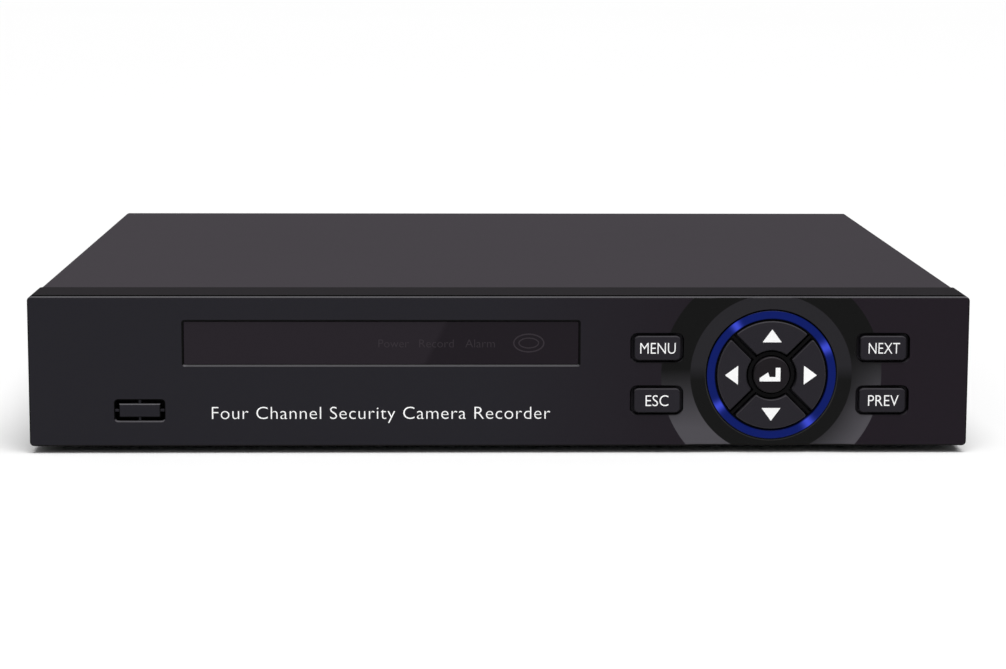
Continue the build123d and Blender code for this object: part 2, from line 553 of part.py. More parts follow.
PROCESSOR_AT, SINK_SIZE = (-8.0, MAIN_Y - 12.0), 38.0
with BuildPart() as board_chips:
    slab(BOARD, (23, 23), 1.4, at=(PROCESSOR_AT,))
    slab(BOARD, (13, 9), 1.1, at=((-42, MAIN_Y - 6), (-42, MAIN_Y - 19), (26, MAIN_Y - 24)))
    slab(BOARD, (9, 9), 1.0, at=((58, MAIN_Y - 2), (76, MAIN_Y - 2), (-66, MAIN_Y + 4)))
    slab(BOARD, (5, 4), 1.6, at=((-86, MAIN_Y + 2), (-86, MAIN_Y - 12), (30, MAIN_Y - 4)))
    chamfer(board_chips.faces().group_by(Axis.Z)[-1].edges(), 0.2)
save(board_chips.part, "board_chips")

with BuildPart() as heat_sink:
    slab(BOARD.offset(1.4), (SINK_SIZE, SINK_SIZE), 2.0, at=(PROCESSOR_AT,))
    with BuildSketch(BOARD.offset(3.4)) as fins:
        with Locations(PROCESSOR_AT):
            with GridLocations(4.1, 1.0, 9, 1):
                Rectangle(1.2, SINK_SIZE)
    extrude(amount=8.0)
save(heat_sink.part, "heat_sink")

CAN_PLACES = ((-98, MAIN_Y - 20), (-98, MAIN_Y - 8), (-76, MAIN_Y - 20), (88, MAIN_Y - 4), (88, MAIN_Y - 16))
with BuildPart() as board_capacitors:
    slab(BOARD, (8.3, 8.3), 0.8, at=CAN_PLACES, corner=1.5)
    rod(BOARD.offset(0.8), 4.0, 8.2, at=CAN_PLACES)
    fillet(board_capacitors.faces().group_by(Axis.Z)[-1].edges(), 0.6)
save(board_capacitors.part, "board_capacitors")

CELL_AT = (56.0, MAIN_Y - 22.0)
with BuildPart() as coin_cell:
    rod(BOARD.offset(0.8), 10.0, 3.2, at=(CELL_AT,))
    fillet(coin_cell.faces().sort_by(Axis.Z)[-1].edges(), 0.6)
save(coin_cell.part, "coin_cell")

SOCKET_Y = MAIN_Y - 35.0
DATA_SOCKET_AT, POWER_SOCKET_AT, RIBBON_SOCKET_AT = (36.0, SOCKET_Y), (54.0, SOCKET_Y), (RIBBON_X, SOCKET_Y)
with BuildPart() as board_sockets:
    rod(BOARD, 11.6, 3.4, at=(CELL_AT,))
    rod(BOARD.offset(0.8), 10.15, 3.0, at=(CELL_AT,), mode=Mode.SUBTRACT)
    slab(BOARD, (12.0, 5.5), 8.0, at=(DATA_SOCKET_AT,))
    slab(BOARD, (12.0, 5.5), 7.0, at=(POWER_SOCKET_AT,))
    slab(BOARD, (15.0, 5.0), 6.0, at=(RIBBON_SOCKET_AT,))
    ribbon_front = [(RIBBON_X, RIBBON_Z - FOOT_H)]
    slab(behind(BOARD_FRONT + BOARD_T), (15.0, 5.0), -4.0, at=ribbon_front)
save(board_sockets.part, "board_sockets")

# ---- Hard drive ----

drive_bottom = FLOOR.offset(DIMPLE_H)
drive_lid_t = 1.0
with BuildPart() as hard_drive_casting:
    slab(drive_bottom, DRIVE_SIZE[:2], DRIVE_SIZE[2] - drive_lid_t, at=(DRIVE_AT,), corner=3.0)
    chamfer(hard_drive_casting.faces().sort_by(Axis.Z)[-1].edges(), 0.8)
    rod(drive_bottom, M3_R + 0.03, 4.5, at=DRIVE_HOLES, mode=Mode.SUBTRACT)
    # the well that the discs and the arm turn in, under the lid
    well_size = (DRIVE_SIZE[0] - 18, DRIVE_SIZE[1] - 12)
    well_at = (DRIVE_AT[0] - 2, DRIVE_AT[1])
    well_top = drive_bottom.offset(DRIVE_SIZE[2] - drive_lid_t)
    slab(well_top, well_size, -WELL_DEPTH, at=(well_at,), corner=8, mode=Mode.SUBTRACT)
    # the recess in the connector end
    end_x = DRIVE_AT[0] + DRIVE_SIZE[0] / 2
    end_plane = Plane(origin=(end_x, DRIVE_AT[1], FLOOR_Z + DIMPLE_H), x_dir=(0, 1, 0), z_dir=(1, 0, 0))
    slab(end_plane, (46.0, 7.0), -5.0, at=((-14.0, 4.5),), mode=Mode.SUBTRACT)
    slab(end_plane.offset(-5), (22.0, 1.2), 3.6, at=((-21.0, 4.5),))
    slab(end_plane.offset(-5), (12.0, 1.2), 3.6, at=((0.0, 4.5),))
save(hard_drive_casting.part, "hard_drive_casting")

with BuildPart() as hard_drive_lid:
    lid_plane = drive_bottom.offset(DRIVE_SIZE[2] - drive_lid_t)
    lid_at = (DRIVE_AT[0] - 3, DRIVE_AT[1])
    slab(lid_plane, (DRIVE_SIZE[0] - 12, DRIVE_SIZE[1] - 5), 0.7, at=(lid_at,), corner=6)
    rod(lid_plane.offset(0.7), 38.0, 0.3, at=((lid_at[0] - 14, lid_at[1]),))
    rod(lid_plane.offset(0.7), 12.0, 0.3, at=((lid_at[0] + 46, lid_at[1] - 26),))
save(hard_drive_lid.part, "hard_drive_lid")

# ---- Cables inside the case ----

PLUG_X = end_x + 0.3
PLUG_Z = FLOOR_Z + DIMPLE_H + 4.5
DATA_Y, POWER_Y = DRIVE_AT[1], DRIVE_AT[1] - 21.0
WIRE_R, WIRE_PITCH = 0.9, 2.4


def lead(radius, route, bends):
    """A round lead along straight runs joined by arcs, starting out of a plug that faces +X."""
    with BuildPart() as wire:
        with BuildLine() as line:
            FilletPolyline(*route, radius=bends)
        with BuildSketch(Plane(origin=route[0], x_dir=(0, 1, 0), z_dir=(1, 0, 0))):
            Circle(radius)
        sweep(path=line.line)
    return wire.part


with BuildPart() as drive_cables:
    # plugs on the drive, then plugs on the main board
    plug_plane = Plane(origin=(PLUG_X, 0, PLUG_Z), x_dir=(0, 1, 0), z_dir=(1, 0, 0))
    slab(plug_plane, (13.0, 5.6), 9.0, at=((DATA_Y, 0),))
    slab(plug_plane, (23.5, 5.6), 11.0, at=((POWER_Y, 0),))
    slab(BOARD.offset(8.0), (12.0, 5.0), 7.0, at=(DATA_SOCKET_AT,))
    slab(BOARD.offset(7.0), (12.0, 5.0), 6.0, at=(POWER_SOCKET_AT,))
    data_route = (
        (PLUG_X + 8.9, DATA_Y, PLUG_Z),
        (PLUG_X + 25.0, DATA_Y, PLUG_Z),
        (PLUG_X + 31.0, DATA_Y + 24.0, PLUG_Z + 13.0),
        (DATA_SOCKET_AT[0] + 6.0, SOCKET_Y - 24.0, MAIN_TOP + 22.0),
        (DATA_SOCKET_AT[0], SOCKET_Y, MAIN_TOP + 24.0),
        (DATA_SOCKET_AT[0], SOCKET_Y, MAIN_TOP + 14.9),
    )
    add(lead(1.8, data_route, (6.0, 12.0, 12.0, 4.0)))
    # four power wires side by side
    for wire in range(4):
        shift = (wire - 1.5) * WIRE_PITCH
        power_route = (
            (PLUG_X + 10.9, POWER_Y + shift, PLUG_Z),
            (PLUG_X + 42.0 - shift, POWER_Y + shift, PLUG_Z),
            (PLUG_X + 42.0 - shift, POWER_Y + 42.0, PLUG_Z + 14.0),
            (POWER_SOCKET_AT[0] - shift, SOCKET_Y - 26.0, MAIN_TOP + 22.0),
            (POWER_SOCKET_AT[0] - shift, SOCKET_Y, MAIN_TOP + 24.0),
            (POWER_SOCKET_AT[0] - shift, SOCKET_Y, MAIN_TOP + 12.9),
        )
        add(lead(WIRE_R, power_route, (9.0, 14.0, 12.0, 4.0)))
save(drive_cables.part, "drive_cables")

with BuildPart() as key_ribbon_cable:
    plug_front = BOARD_FRONT + BOARD_T + 4.0
    slab(behind(plug_front), (14.0, 4.4), -4.0, at=ribbon_front)
    slab(BOARD.offset(6.0), (14.0, 4.4), 4.0, at=(RIBBON_SOCKET_AT,))
    with BuildSketch(Plane.YZ.offset(RIBBON_X - RIBBON_W / 2)):
        with BuildLine():
            FilletPolyline(
                (FACE_Y + plug_front + 4.0, RIBBON_Z),
                (-72.0, RIBBON_Z),
                (-40.0, RIBBON_Z + 10.0),
                (6.0, RIBBON_Z + 8.0),
                (SOCKET_Y, RIBBON_Z + 10.5),
                (SOCKET_Y, MAIN_TOP + 10.0),
                radius=(24.0, 30.0, 30.0, 5.0),
            )
        trace(line_width=0.9)
    extrude(amount=RIBBON_W)
save(key_ribbon_cable.part, "key_ribbon_cable")

# ---- Rear sockets ----

with BuildPart() as bnc_housings:
    slab(REAR.offset(-SHEET - 0.1), (14.6, 14.6), -15.0, at=video_places, corner=0.8)
save(bnc_housings.part, "bnc_housings")

with BuildPart() as bnc_shells:
    rod(REAR.offset(4.0), NECK_R, -(4.0 + SHEET + 0.1), at=video_places)
    rod(REAR.offset(REAR_REACH), BARREL_R, -(REAR_REACH - 4.0), at=video_places)
    rod(REAR.offset(REAR_REACH), 4.1, -7.0, at=video_places, mode=Mode.SUBTRACT)
    chamfer(bnc_shells.faces().group_by(Axis.Y)[-1].edges(), 0.25)
    for x in VIDEO_X:
        lug_plane = Plane(origin=(-x, REAR_Y + 8.6, MAIN_TOP + VIDEO_Z), x_dir=(1, 0, 0), z_dir=(0, 0, 1))
        with BuildSketch(lug_plane):
            Circle(1.0)
        extrude(amount=BARREL_R + 0.9, both=True)
    rod(REAR.offset(REAR_REACH), 4.1, -7.0, at=video_places, mode=Mode.SUBTRACT)
save(bnc_shells.part, "bnc_shells")

with BuildPart() as bnc_insulators:
    rod(REAR.offset(REAR_REACH - 1.4), 2.4, -5.6, at=video_places)
    rod(REAR.offset(REAR_REACH - 1.4), 1.1, -5.0, at=video_places, mode=Mode.SUBTRACT)
save(bnc_insulators.part, "bnc_insulators")

with BuildPart() as bnc_nuts:
    with BuildSketch(REAR) as nut:
        with Locations(*video_places):
            RegularPolygon(8.3, 6)
            Circle(NECK_R + 0.03, mode=Mode.SUBTRACT)
    extrude(amount=2.2)
save(bnc_nuts.part, "bnc_nuts")

with BuildPart() as rca_bodies:
    slab(REAR.offset(-SHEET - 0.1), (11.4, 13.6), -12.0, at=audio_places, corner=0.8)
    rod(REAR.offset(1.0), 5.0, -(1.0 + SHEET + 0.1), at=audio_places)
save(rca_bodies.part, "rca_bodies")

with BuildPart() as rca_shells:
    rod(REAR.offset(8.4), 4.15, -7.4, at=audio_places)
    rod(REAR.offset(8.4), 3.5, -7.4, at=audio_places, mode=Mode.SUBTRACT)
save(rca_shells.part, "rca_shells")

with BuildPart() as rca_inserts:
    rod(REAR.offset(8.0), 3.47, -7.0, at=audio_places)
    rod(REAR.offset(8.0), 1.6, -6.5, at=audio_places, mode=Mode.SUBTRACT)
save(rca_inserts.part, "rca_inserts")

with BuildPart() as vga_shell:
    slab(REAR.offset(-SHEET), (30.8, 12.4), -0.6, at=(VGA_AT,), corner=1.0)
    extrude(d_outline(REAR.offset(-SHEET), 17.6, 8.8, 2.2, VGA_AT), amount=SHEET + 5.2)
    extrude(d_outline(REAR.offset(-SHEET - 0.6), 16.9, 8.1, 1.9, VGA_AT), amount=12.0, mode=Mode.SUBTRACT)
    rod(REAR, 1.45, -2.0, at=jackscrews, mode=Mode.SUBTRACT)
save(vga_shell.part, "vga_shell")

with BuildPart() as vga_insert:
    slab(REAR.offset(-SHEET - 0.65), (30.4, 12.2), -9.0, at=(VGA_AT,), corner=0.8)
    extrude(d_outline(REAR.offset(-SHEET - 0.65), 16.7, 7.9, 1.8, VGA_AT), amount=SHEET + 0.65 + 4.9)
    for row, (shift, drop) in enumerate(((0.0, 1.98), (-1.15, 0.0), (0.0, -1.98))):
        pins = [(VGA_AT[0] + shift + (n - 2) * 2.29, VGA_AT[1] + drop) for n in range(5)]
        rod(REAR.offset(4.9), 0.5, -4.0, at=pins, mode=Mode.SUBTRACT)
    rod(REAR, 1.45, -6.0, at=jackscrews, mode=Mode.SUBTRACT)
save(vga_insert.part, "vga_insert")

with BuildPart() as vga_jackscrews:
    with BuildSketch(REAR) as hexes:
        with Locations(*jackscrews):
            RegularPolygon(2.75, 6)
    extrude(amount=JACKSCREW_REACH)
    rod(REAR, 1.4, -6.0, at=jackscrews)
    rod(REAR.offset(JACKSCREW_REACH), 1.25, -4.5, at=jackscrews, mode=Mode.SUBTRACT)
save(vga_jackscrews.part, "vga_jackscrews")

with BuildPart() as hdmi_shell:
    extrude(d_outline(REAR.offset(0.5), HDMI_SIZE[0], HDMI_SIZE[1], 0.6, HDMI_AT), amount=-11.5)
    inner = (HDMI_SIZE[0] - 0.8, HDMI_SIZE[1] - 0.8)
    extrude(d_outline(REAR.offset(0.5), *inner, 0.4, HDMI_AT), amount=-10.5, mode=Mode.SUBTRACT)
save(hdmi_shell.part, "hdmi_shell")

with BuildPart() as hdmi_tongue:
    slab(REAR.offset(-0.6), (11.2, 1.4), -9.4, at=((HDMI_AT[0], HDMI_AT[1] + 0.5),))
save(hdmi_tongue.part, "hdmi_tongue")

LAN_MOUTH, LAN_KEYWAY = (11.8, 7.0), (6.2, 2.2)
with BuildPart() as lan_socket:
    slab(REAR.offset(0.4), LAN_SIZE, -LAN_DEPTH, at=(LAN_AT,))
    fillet(lan_socket.edges().filter_by(Axis.Y), 0.4)
    mouth_at = (LAN_AT[0], LAN_AT[1] + 0.6)
    slab(REAR.offset(0.4), LAN_MOUTH, -13.5, at=(mouth_at,), mode=Mode.SUBTRACT)
    keyway_at = (LAN_AT[0], mouth_at[1] - LAN_MOUTH[1] / 2 - LAN_KEYWAY[1] / 2 + 0.1)
    slab(REAR.offset(0.4), LAN_KEYWAY, -9.0, at=(keyway_at,), mode=Mode.SUBTRACT)
    lamp_at = [(LAN_AT[0] + side * 6.2, LAN_AT[1] + 5.3) for side in (-1, 1)]
    slab(REAR.offset(0.4), (2.6, 1.6), -0.4, at=lamp_at, mode=Mode.SUBTRACT)
save(lan_socket.part, "lan_socket")

USB_MOUTH = (12.4, 5.0)
usb_mouths = [(USB_AT[0], USB_AT[1] + side * USB_PITCH / 2) for side in (-1, 1)]
with BuildPart() as usb_shell:
    slab(REAR.offset(0.4), USB_SIZE, -USB_DEPTH, at=(USB_AT,), corner=0.5)
    slab(REAR.offset(0.4), USB_MOUTH, -(USB_DEPTH - 1.5), at=usb_mouths, corner=0.3, mode=Mode.SUBTRACT)
save(usb_shell.part, "usb_shell")

with BuildPart() as usb_tongues:
    tongues = [(x, z + 1.1) for x, z in usb_mouths]
    slab(REAR.offset(-0.9), (11.1, 1.9), -(USB_DEPTH - 2.8), at=tongues)
save(usb_tongues.part, "usb_tongues")

with BuildPart() as dc_jack_body:
    slab(REAR.offset(-SHEET - 0.1), (9.0, 12.0), -13.5, at=(POWER_AT,), corner=0.5)
    rod(REAR.offset(0.3), 4.3, -(0.4 + SHEET), at=(POWER_AT,))
    rod(REAR.offset(0.3), 3.0, -10.0, at=(POWER_AT,), mode=Mode.SUBTRACT)
save(dc_jack_body.part, "dc_jack_body")

with BuildPart() as rear_contacts:
    # tubes in the video sockets, the pin in the power jack and the eight springs of the network socket
    rod(REAR.offset(REAR_REACH - 1.6), 1.05, -4.6, at=video_places)
    rod(REAR.offset(REAR_REACH - 1.6), 0.55, -4.0, at=video_places, mode=Mode.SUBTRACT)
    rod(REAR.offset(-1.0), 1.0, -8.7, at=(POWER_AT,))
    springs = [(LAN_AT[0] + (n - 3.5) * 1.02, mouth_at[1] + LAN_MOUTH[1] / 2 - 0.35) for n in range(8)]
    slab(REAR.offset(-4.0), (0.45, 0.5), -9.0, at=springs)
save(rear_contacts.part, "rear_contacts")
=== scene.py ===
# %% [markdown]
# # A security video recorder
# The case, bezel, keys and sockets come finished from the CAD model, in metres and in place.
# What is left for Blender is what CAD can't say: print on the keys, light in the ring, the grain
# of powder coat and moulded plastic, and the small parts round the rear sockets. This lesson
# loads the model, makes those pieces with ordinary operators, and then paints everything.

# %% Load the model
import json
import math

import bmesh
import bpy
from mathutils import Matrix, Vector

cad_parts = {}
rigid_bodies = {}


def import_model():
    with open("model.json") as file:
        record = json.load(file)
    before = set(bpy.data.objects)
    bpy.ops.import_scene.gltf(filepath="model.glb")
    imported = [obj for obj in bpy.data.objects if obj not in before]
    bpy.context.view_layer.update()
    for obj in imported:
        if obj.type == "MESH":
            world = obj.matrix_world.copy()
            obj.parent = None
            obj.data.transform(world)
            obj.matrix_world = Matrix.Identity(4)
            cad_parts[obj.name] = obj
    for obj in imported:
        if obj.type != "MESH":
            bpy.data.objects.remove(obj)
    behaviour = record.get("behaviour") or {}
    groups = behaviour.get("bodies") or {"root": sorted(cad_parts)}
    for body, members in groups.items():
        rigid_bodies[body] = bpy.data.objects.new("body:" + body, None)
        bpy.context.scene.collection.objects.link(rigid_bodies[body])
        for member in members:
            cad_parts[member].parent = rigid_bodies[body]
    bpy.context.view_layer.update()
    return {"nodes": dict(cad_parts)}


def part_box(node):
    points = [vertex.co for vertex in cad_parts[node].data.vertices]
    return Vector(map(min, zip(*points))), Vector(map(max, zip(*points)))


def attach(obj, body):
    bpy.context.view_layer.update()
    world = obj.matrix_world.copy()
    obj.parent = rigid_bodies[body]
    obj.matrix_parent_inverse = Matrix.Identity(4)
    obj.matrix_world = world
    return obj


bpy.ops.object.select_all(action="SELECT")
bpy.ops.object.delete()
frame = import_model()
MM = 0.001

# %% [markdown]
# Every place below is worked out from the model's own boxes. The helpers give the middle of a
# node, and the depth of the face that it turns to the front or to the rear.

# %% Places on the object


def middle(node):
    """The middle of a CAD node's box."""
    low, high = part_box(node)
    return (low + high) / 2


def front_of(node):
    """How far forward a CAD node reaches."""
    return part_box(node)[0].y


def rear_of(node):
    """How far back a CAD node reaches."""
    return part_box(node)[1].y


FACE = front_of("front_bezel")
PAD = middle("key_enter")
LENS = middle("display_window")
BEZEL_LOW, BEZEL_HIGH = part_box("front_bezel")
REAR_WALL = rear_of("base_chassis")
print("face at", round(FACE / MM, 1), "mm, keypad at", [round(v / MM, 1) for v in PAD])

# %% [markdown]
# ## Camera, lights and floor
# The recorder is seen from the front, a little above and from a metre away, which shows the
# whole face and a foreshortened top. A long lens keeps the face square. The light is one soft
# sun high over the front, so that the top, the bezel's upper edge and everything that tips
# upwards catch it, with a pale world and floor to fill the shadows.

# %% Camera
STAND = Vector((-15.0, -837.9, 138.5)) * MM
AIM = Vector((0.8, -118.2, 32.7)) * MM
ROLL = 0.0031
eye = bpy.data.cameras.new("camera")
eye.lens = 96.2
eye.sensor_width = 36.0
eye.clip_start = 0.05
camera = bpy.data.objects.new("camera", eye)
camera.location = STAND
camera.rotation_euler = (AIM - STAND).to_track_quat("-Z", "Y").to_euler()
camera.rotation_euler.rotate_axis("Z", ROLL)
bpy.context.scene.collection.objects.link(camera)
bpy.context.scene.camera = camera
print("camera to face:", round((AIM - STAND).length / MM), "mm")

# %% [markdown]
# The world alone would light the case from all sides and leave its edges flat. A sun with a wide
# angle works like a large soft box overhead: it costs one light and has no edge in reflections.
# A weak square lamp at the front left lifts the face.

# %% Lights and world
bpy.context.scene.view_settings.view_transform = "Standard"
world = bpy.data.worlds.new("studio")
bpy.context.scene.world = world
world.use_nodes = True
world.node_tree.nodes["Background"].inputs["Color"].default_value = (1.0, 1.0, 1.0, 1.0)
world.node_tree.nodes["Background"].inputs["Strength"].default_value = 0.22


def lamp(name, kind, energy, place, target, **settings):
    """A light that points at a target."""
    light = bpy.data.lights.new(name, kind)
    light.energy = energy
    for key, value in settings.items():
        setattr(light, key, value)
    holder = bpy.data.objects.new(name, light)
    holder.location = place
    holder.rotation_euler = (Vector(target) - Vector(place)).to_track_quat("-Z", "Y").to_euler()
    bpy.context.scene.collection.objects.link(holder)
    return holder


lamp("high_sun", "SUN", 3.2, (0.1, -0.35, 1.0), (0, 0, 0), angle=math.radians(50))
lamp("front_box", "AREA", 3.0, (-0.5, -1.6, 0.9), (0, 0, 0), size=0.8)

# %% [markdown]
# The floor is one large plane, so that it fills the view at any angle. It is staging and not a
# piece of the recorder, and gets its finish at the end.

# %% Floor
bpy.ops.object.select_all(action="DESELECT")
bpy.ops.mesh.primitive_plane_add(size=60.0, location=(0, 0, 0))
floor = bpy.context.object
floor.name = "floor"

# %% [markdown]
# ## Shader sums
# A procedural finish is mostly arithmetic on a few patterns. This small class wraps a node
# socket, so that `a * b + 0.2` adds the Math nodes by itself and a recipe reads as a formula.

# %% A socket that takes part in sums


class Value:
    """A shader socket that can be added, multiplied and compared like a number."""

    def __init__(self, recipe, socket):
        self.recipe = recipe
        self.socket = socket

    def math(self, operation, *values, clamp=False):
        settings = {"operation": operation, "use_clamp": clamp}
        return self.recipe.node("ShaderNodeMath", settings, values)

    def __add__(self, other):
        return self.math("ADD", self, other)

    def __sub__(self, other):
        return self.math("SUBTRACT", self, other)

    def __rsub__(self, other):
        return self.math("SUBTRACT", other, self)

    def __mul__(self, other):
        return self.math("MULTIPLY", self, other)

    def __truediv__(self, other):
        return self.math("DIVIDE", self, other)

    def __pow__(self, other):
        return self.math("POWER", self, other)

    __radd__ = __add__
    __rmul__ = __mul__

    def clamped(self):
        return self.math("ADD", self, 0.0, clamp=True)

    def above(self, edge, softness):
        """0 below the edge and 1 above it, over a soft step."""
        return ((self - edge) / softness + 0.5).clamped()

    def root(self):
        return self.math("SQRT", self)


# %% [markdown]
# A material could be wired by hand in the shader editor. In a script a recipe object does it: it
# keeps the node tree, and has short methods for the coordinates, noises and blends that nearly
# every finish here is built from.

# %% A recipe for one material


class Recipe:
    """One material's node tree, with short ways to add nodes and to set its shader."""

    def __init__(self, name):
        self.material = bpy.data.materials.new(name)
        self.material.use_nodes = True
        self.tree = self.material.node_tree
        self.shader = self.tree.nodes["Principled BSDF"]
        self.place = self.node("ShaderNodeTexCoord", output="Object")

    def node(self, kind, settings=None, values=(), output=0):
        """Adds a node: settings first, then the values or links of its sockets."""
        made = self.tree.nodes.new(kind)
        for key, value in (settings or {}).items():
            setattr(made, key, value)
        pairs = values.items() if isinstance(values, dict) else enumerate(values)
        for key, value in pairs:
            self.feed(made.inputs[key], value)
        return Value(self, made.outputs[output])

    def feed(self, socket, value):
        if isinstance(value, Value):
            self.tree.links.new(value.socket, socket)
        else:
            socket.default_value = value

    def set(self, **values):
        """Feeds the shader's sockets: base_color is Base Color, and so on."""
        for key, value in values.items():
            self.feed(self.shader.inputs[key.replace("_", " ").title().replace("Ior", "IOR")], value)
        return self.material

    def axes(self, centre=(0, 0, 0)):
        """The three coordinates in metres, measured from a centre."""
        settings = {"Vector": self.place, "Location": [-c for c in centre]}
        shifted = self.node("ShaderNodeMapping", None, settings)
        parts = self.tree.nodes.new("ShaderNodeSeparateXYZ")
        self.feed(parts.inputs[0], shifted)
        return [Value(self, parts.outputs[n]) for n in range(3)]

    def facing(self):
        """The direction that the surface itself faces, as three numbers from -1 to 1."""
        parts = self.tree.nodes.new("ShaderNodeSeparateXYZ")
        self.feed(parts.inputs[0], self.node("ShaderNodeTexCoord", output="Normal"))
        return [Value(self, parts.outputs[n]) for n in range(3)]

    def noise(self, size, detail=2.0, stretch=(1, 1, 1), roughness=0.5):
        """Cloudy noise whose lumps are about one size across, in metres."""
        scaled = self.node("ShaderNodeMapping", None, {"Vector": self.place, "Scale": stretch})
        settings = {"Vector": scaled, "Scale": 1 / size, "Detail": detail, "Roughness": roughness}
        return self.node("ShaderNodeTexNoise", None, settings)

    def cells(self, size, feature="F1"):
        """Distance to the middle of the nearest of many random cells."""
        settings = {"Vector": self.place, "Scale": 1 / size}
        return self.node("ShaderNodeTexVoronoi", {"feature": feature}, settings)

    def mix(self, share, first, second):
        """Blends two colours by a share from 0 to 1."""
        mixer = self.tree.nodes.new("ShaderNodeMix")
        mixer.data_type = "RGBA"
        self.feed(mixer.inputs["Factor"], share)
        self.feed(mixer.inputs[6], first)
        self.feed(mixer.inputs[7], second)
        return Value(self, mixer.outputs[2])

    def relief(self, height, depth, strength=1.0):
        """Turns a height pattern into a bumped normal. The depth is in metres."""
        return self.node("ShaderNodeBump", None, {"Height": height, "Distance": depth, "Strength": strength})


def grey(level, tint=(1.0, 1.0, 1.0)):
    """A colour from one level and a tint."""
    return (level * tint[0], level * tint[1], level * tint[2], 1.0)


# %% [markdown]
# ## The case
# The cover is folded steel with a fine powder coat: baked paint that flows into tiny rounded
# lumps and stays nearly matt. A picture of real paint would blur close up and repeat from afar,
# so the lumps are noise well under a millimetre across, used as relief, and a cloudy second noise
# shifts the gloss a little, as hand marks do.

# %% Powder coat


def powder_coat(name, level, tint, gloss_level):
    """Baked powder paint of one grey level and tint."""
    coat = Recipe(name)
    lumps = coat.noise(0.55 * MM, detail=1.0)
    pores = coat.noise(0.16 * MM, detail=0.0)
    clouds = coat.noise(60 * MM, detail=3.0)
    speckle = coat.noise(0.4 * MM, detail=2.0)
    shade = coat.mix(clouds * 0.5 + speckle * 0.5, grey(level * 0.88, tint), grey(level * 1.12, tint))
    return coat.set(
        base_color=shade,
        roughness=clouds * 0.12 + 0.56,
        specular_ior_level=gloss_level,
        normal=coat.relief(lumps + pores * 0.4, 0.03 * MM, 0.5),
    )


WARM_GREY = (1.04, 0.90, 1.08)
cover_paint = powder_coat("cover_paint", 0.040, WARM_GREY, 0.10)
tray_paint = powder_coat("tray_paint", 0.040, WARM_GREY, 0.12)

# %% [markdown]
# The bezel is moulded ABS with a fine spark texture. Its rims are a little smoother than its face,
# and their light and shade are painted into the colour: those that tip upwards get a painted
# highlight as thin pale lines, and those that turn sideways or down get painted shade as dark
# ones. A mask for them comes from the surface's own direction, so one sum finds every rim of the
# face, the window, the knock-out and the pockets.

# %% Rims of a front face


def rims(recipe, depth):
    """Masks for the painted highlight on rims that tip up, and for the painted shade on those that turn
    aside or down, above a depth.
    """
    right, back, up = recipe.facing()
    turned_away = back.above(-0.97, 0.04) * (1 - depth.above(0.95 * MM, 0.1 * MM))
    tips_up = up.above(0.4, 0.3) * turned_away
    return tips_up, turned_away - tips_up


# %% [markdown]
# Round the keypad the moulding dips into a shallow cone, and the light from above on its slopes
# is painted into its colour. The outer cone is painted from near black shade at its top to a pale
# grey highlight at its foot. On the right it also fades towards the middle, so each side has its
# own slope, in millimetres of height and of radius. The inner cone is painted paler in its upper
# half, which faces the light. Painting these tones on a texture would need an unwrapped mesh.
# Here each is a sum on the distance from the pad's middle, which stays sharp at any size.
# The fine groove behind the front edge, with a strip just behind it, gets painted shade as a dark line, and
# the strip of the top behind that is matt again.

# %% Bezel plastic
DISC_R, DISH_R = 22 * MM, 30 * MM
GROOVE_START, GROOVE_END = 1.0 * MM, 3.46 * MM
SHARP = 0.12 * MM
RIM_TINT = (1.0, 0.96, 1.06)

bezel = Recipe("bezel_plastic")
x, y, z = bezel.axes((PAD.x, FACE, PAD.z))
from_pad = (x * x + z * z).root()
on_face = 1 - y.above(0.6 * MM, 0.2 * MM)
outer_cone = from_pad.above(DISC_R, SHARP) * (1 - from_pad.above(DISH_R, SHARP)) * on_face
inner_cone = (1 - from_pad.above(DISC_R, SHARP)) * on_face
# Painted light and shade of the dish: its foot is painted pale and its top dark, as light from above falls
# on the slopes.
left_foot = ((1.5 * MM - z) / (16 * MM)).clamped()
right_foot = ((6 * MM - z) / (16 * MM)).clamped() * ((from_pad - 19 * MM) / (10 * MM)).clamped()
foot_light = left_foot + x.above(0.0, 1 * MM) * (right_foot - left_foot)
# A painted reflection on the glossy face: it is painted darker towards the right.
to_right = (x + PAD.x).above(28 * MM, 60 * MM)
plain = bezel.mix(to_right, (0.0148, 0.0140, 0.0182, 1.0), (0.0125, 0.0089, 0.0132, 1.0))
outer_cone_painted_shading = bezel.mix(foot_light, grey(0.0042), grey(0.072, (1.0, 0.95, 1.08)))
inner_cone_painted_shading = bezel.mix(z.above(0.5 * MM, 4 * MM), grey(0.0048), grey(0.0174, (1.0, 0.95, 1.12)))
shade = bezel.mix(outer_cone, plain, outer_cone_painted_shading)
shade = bezel.mix(inner_cone, shade, inner_cone_painted_shading)
painted_highlight_rims, painted_shade_rims = rims(bezel, y)
near_keys = 1 - from_pad.above(42 * MM, 2 * MM)
top_edge = z.above(BEZEL_HIGH.z - PAD.z - 1.5 * MM, 0.5 * MM)
knock_out = 1 - (x + PAD.x).above(-85 * MM, 1 * MM)
# Colours of the painted highlight on the rims: brightest along the top edge and round the knock-out.
rim_highlight_colour = bezel.mix(top_edge, grey(0.050, RIM_TINT), grey(0.072, RIM_TINT))
rim_highlight_colour = bezel.mix(knock_out * (1 - top_edge), rim_highlight_colour, grey(0.085, RIM_TINT))
# Painted shade on rims that turn aside, then the painted highlight on rims that tip up, weaker near the
# keys.
shade = bezel.mix(painted_shade_rims, shade, grey(0.0015))
highlight_fade_near_keys = near_keys * (1 - top_edge) * 0.5
shade = bezel.mix(painted_highlight_rims * (1 - highlight_fade_near_keys), shade, rim_highlight_colour)
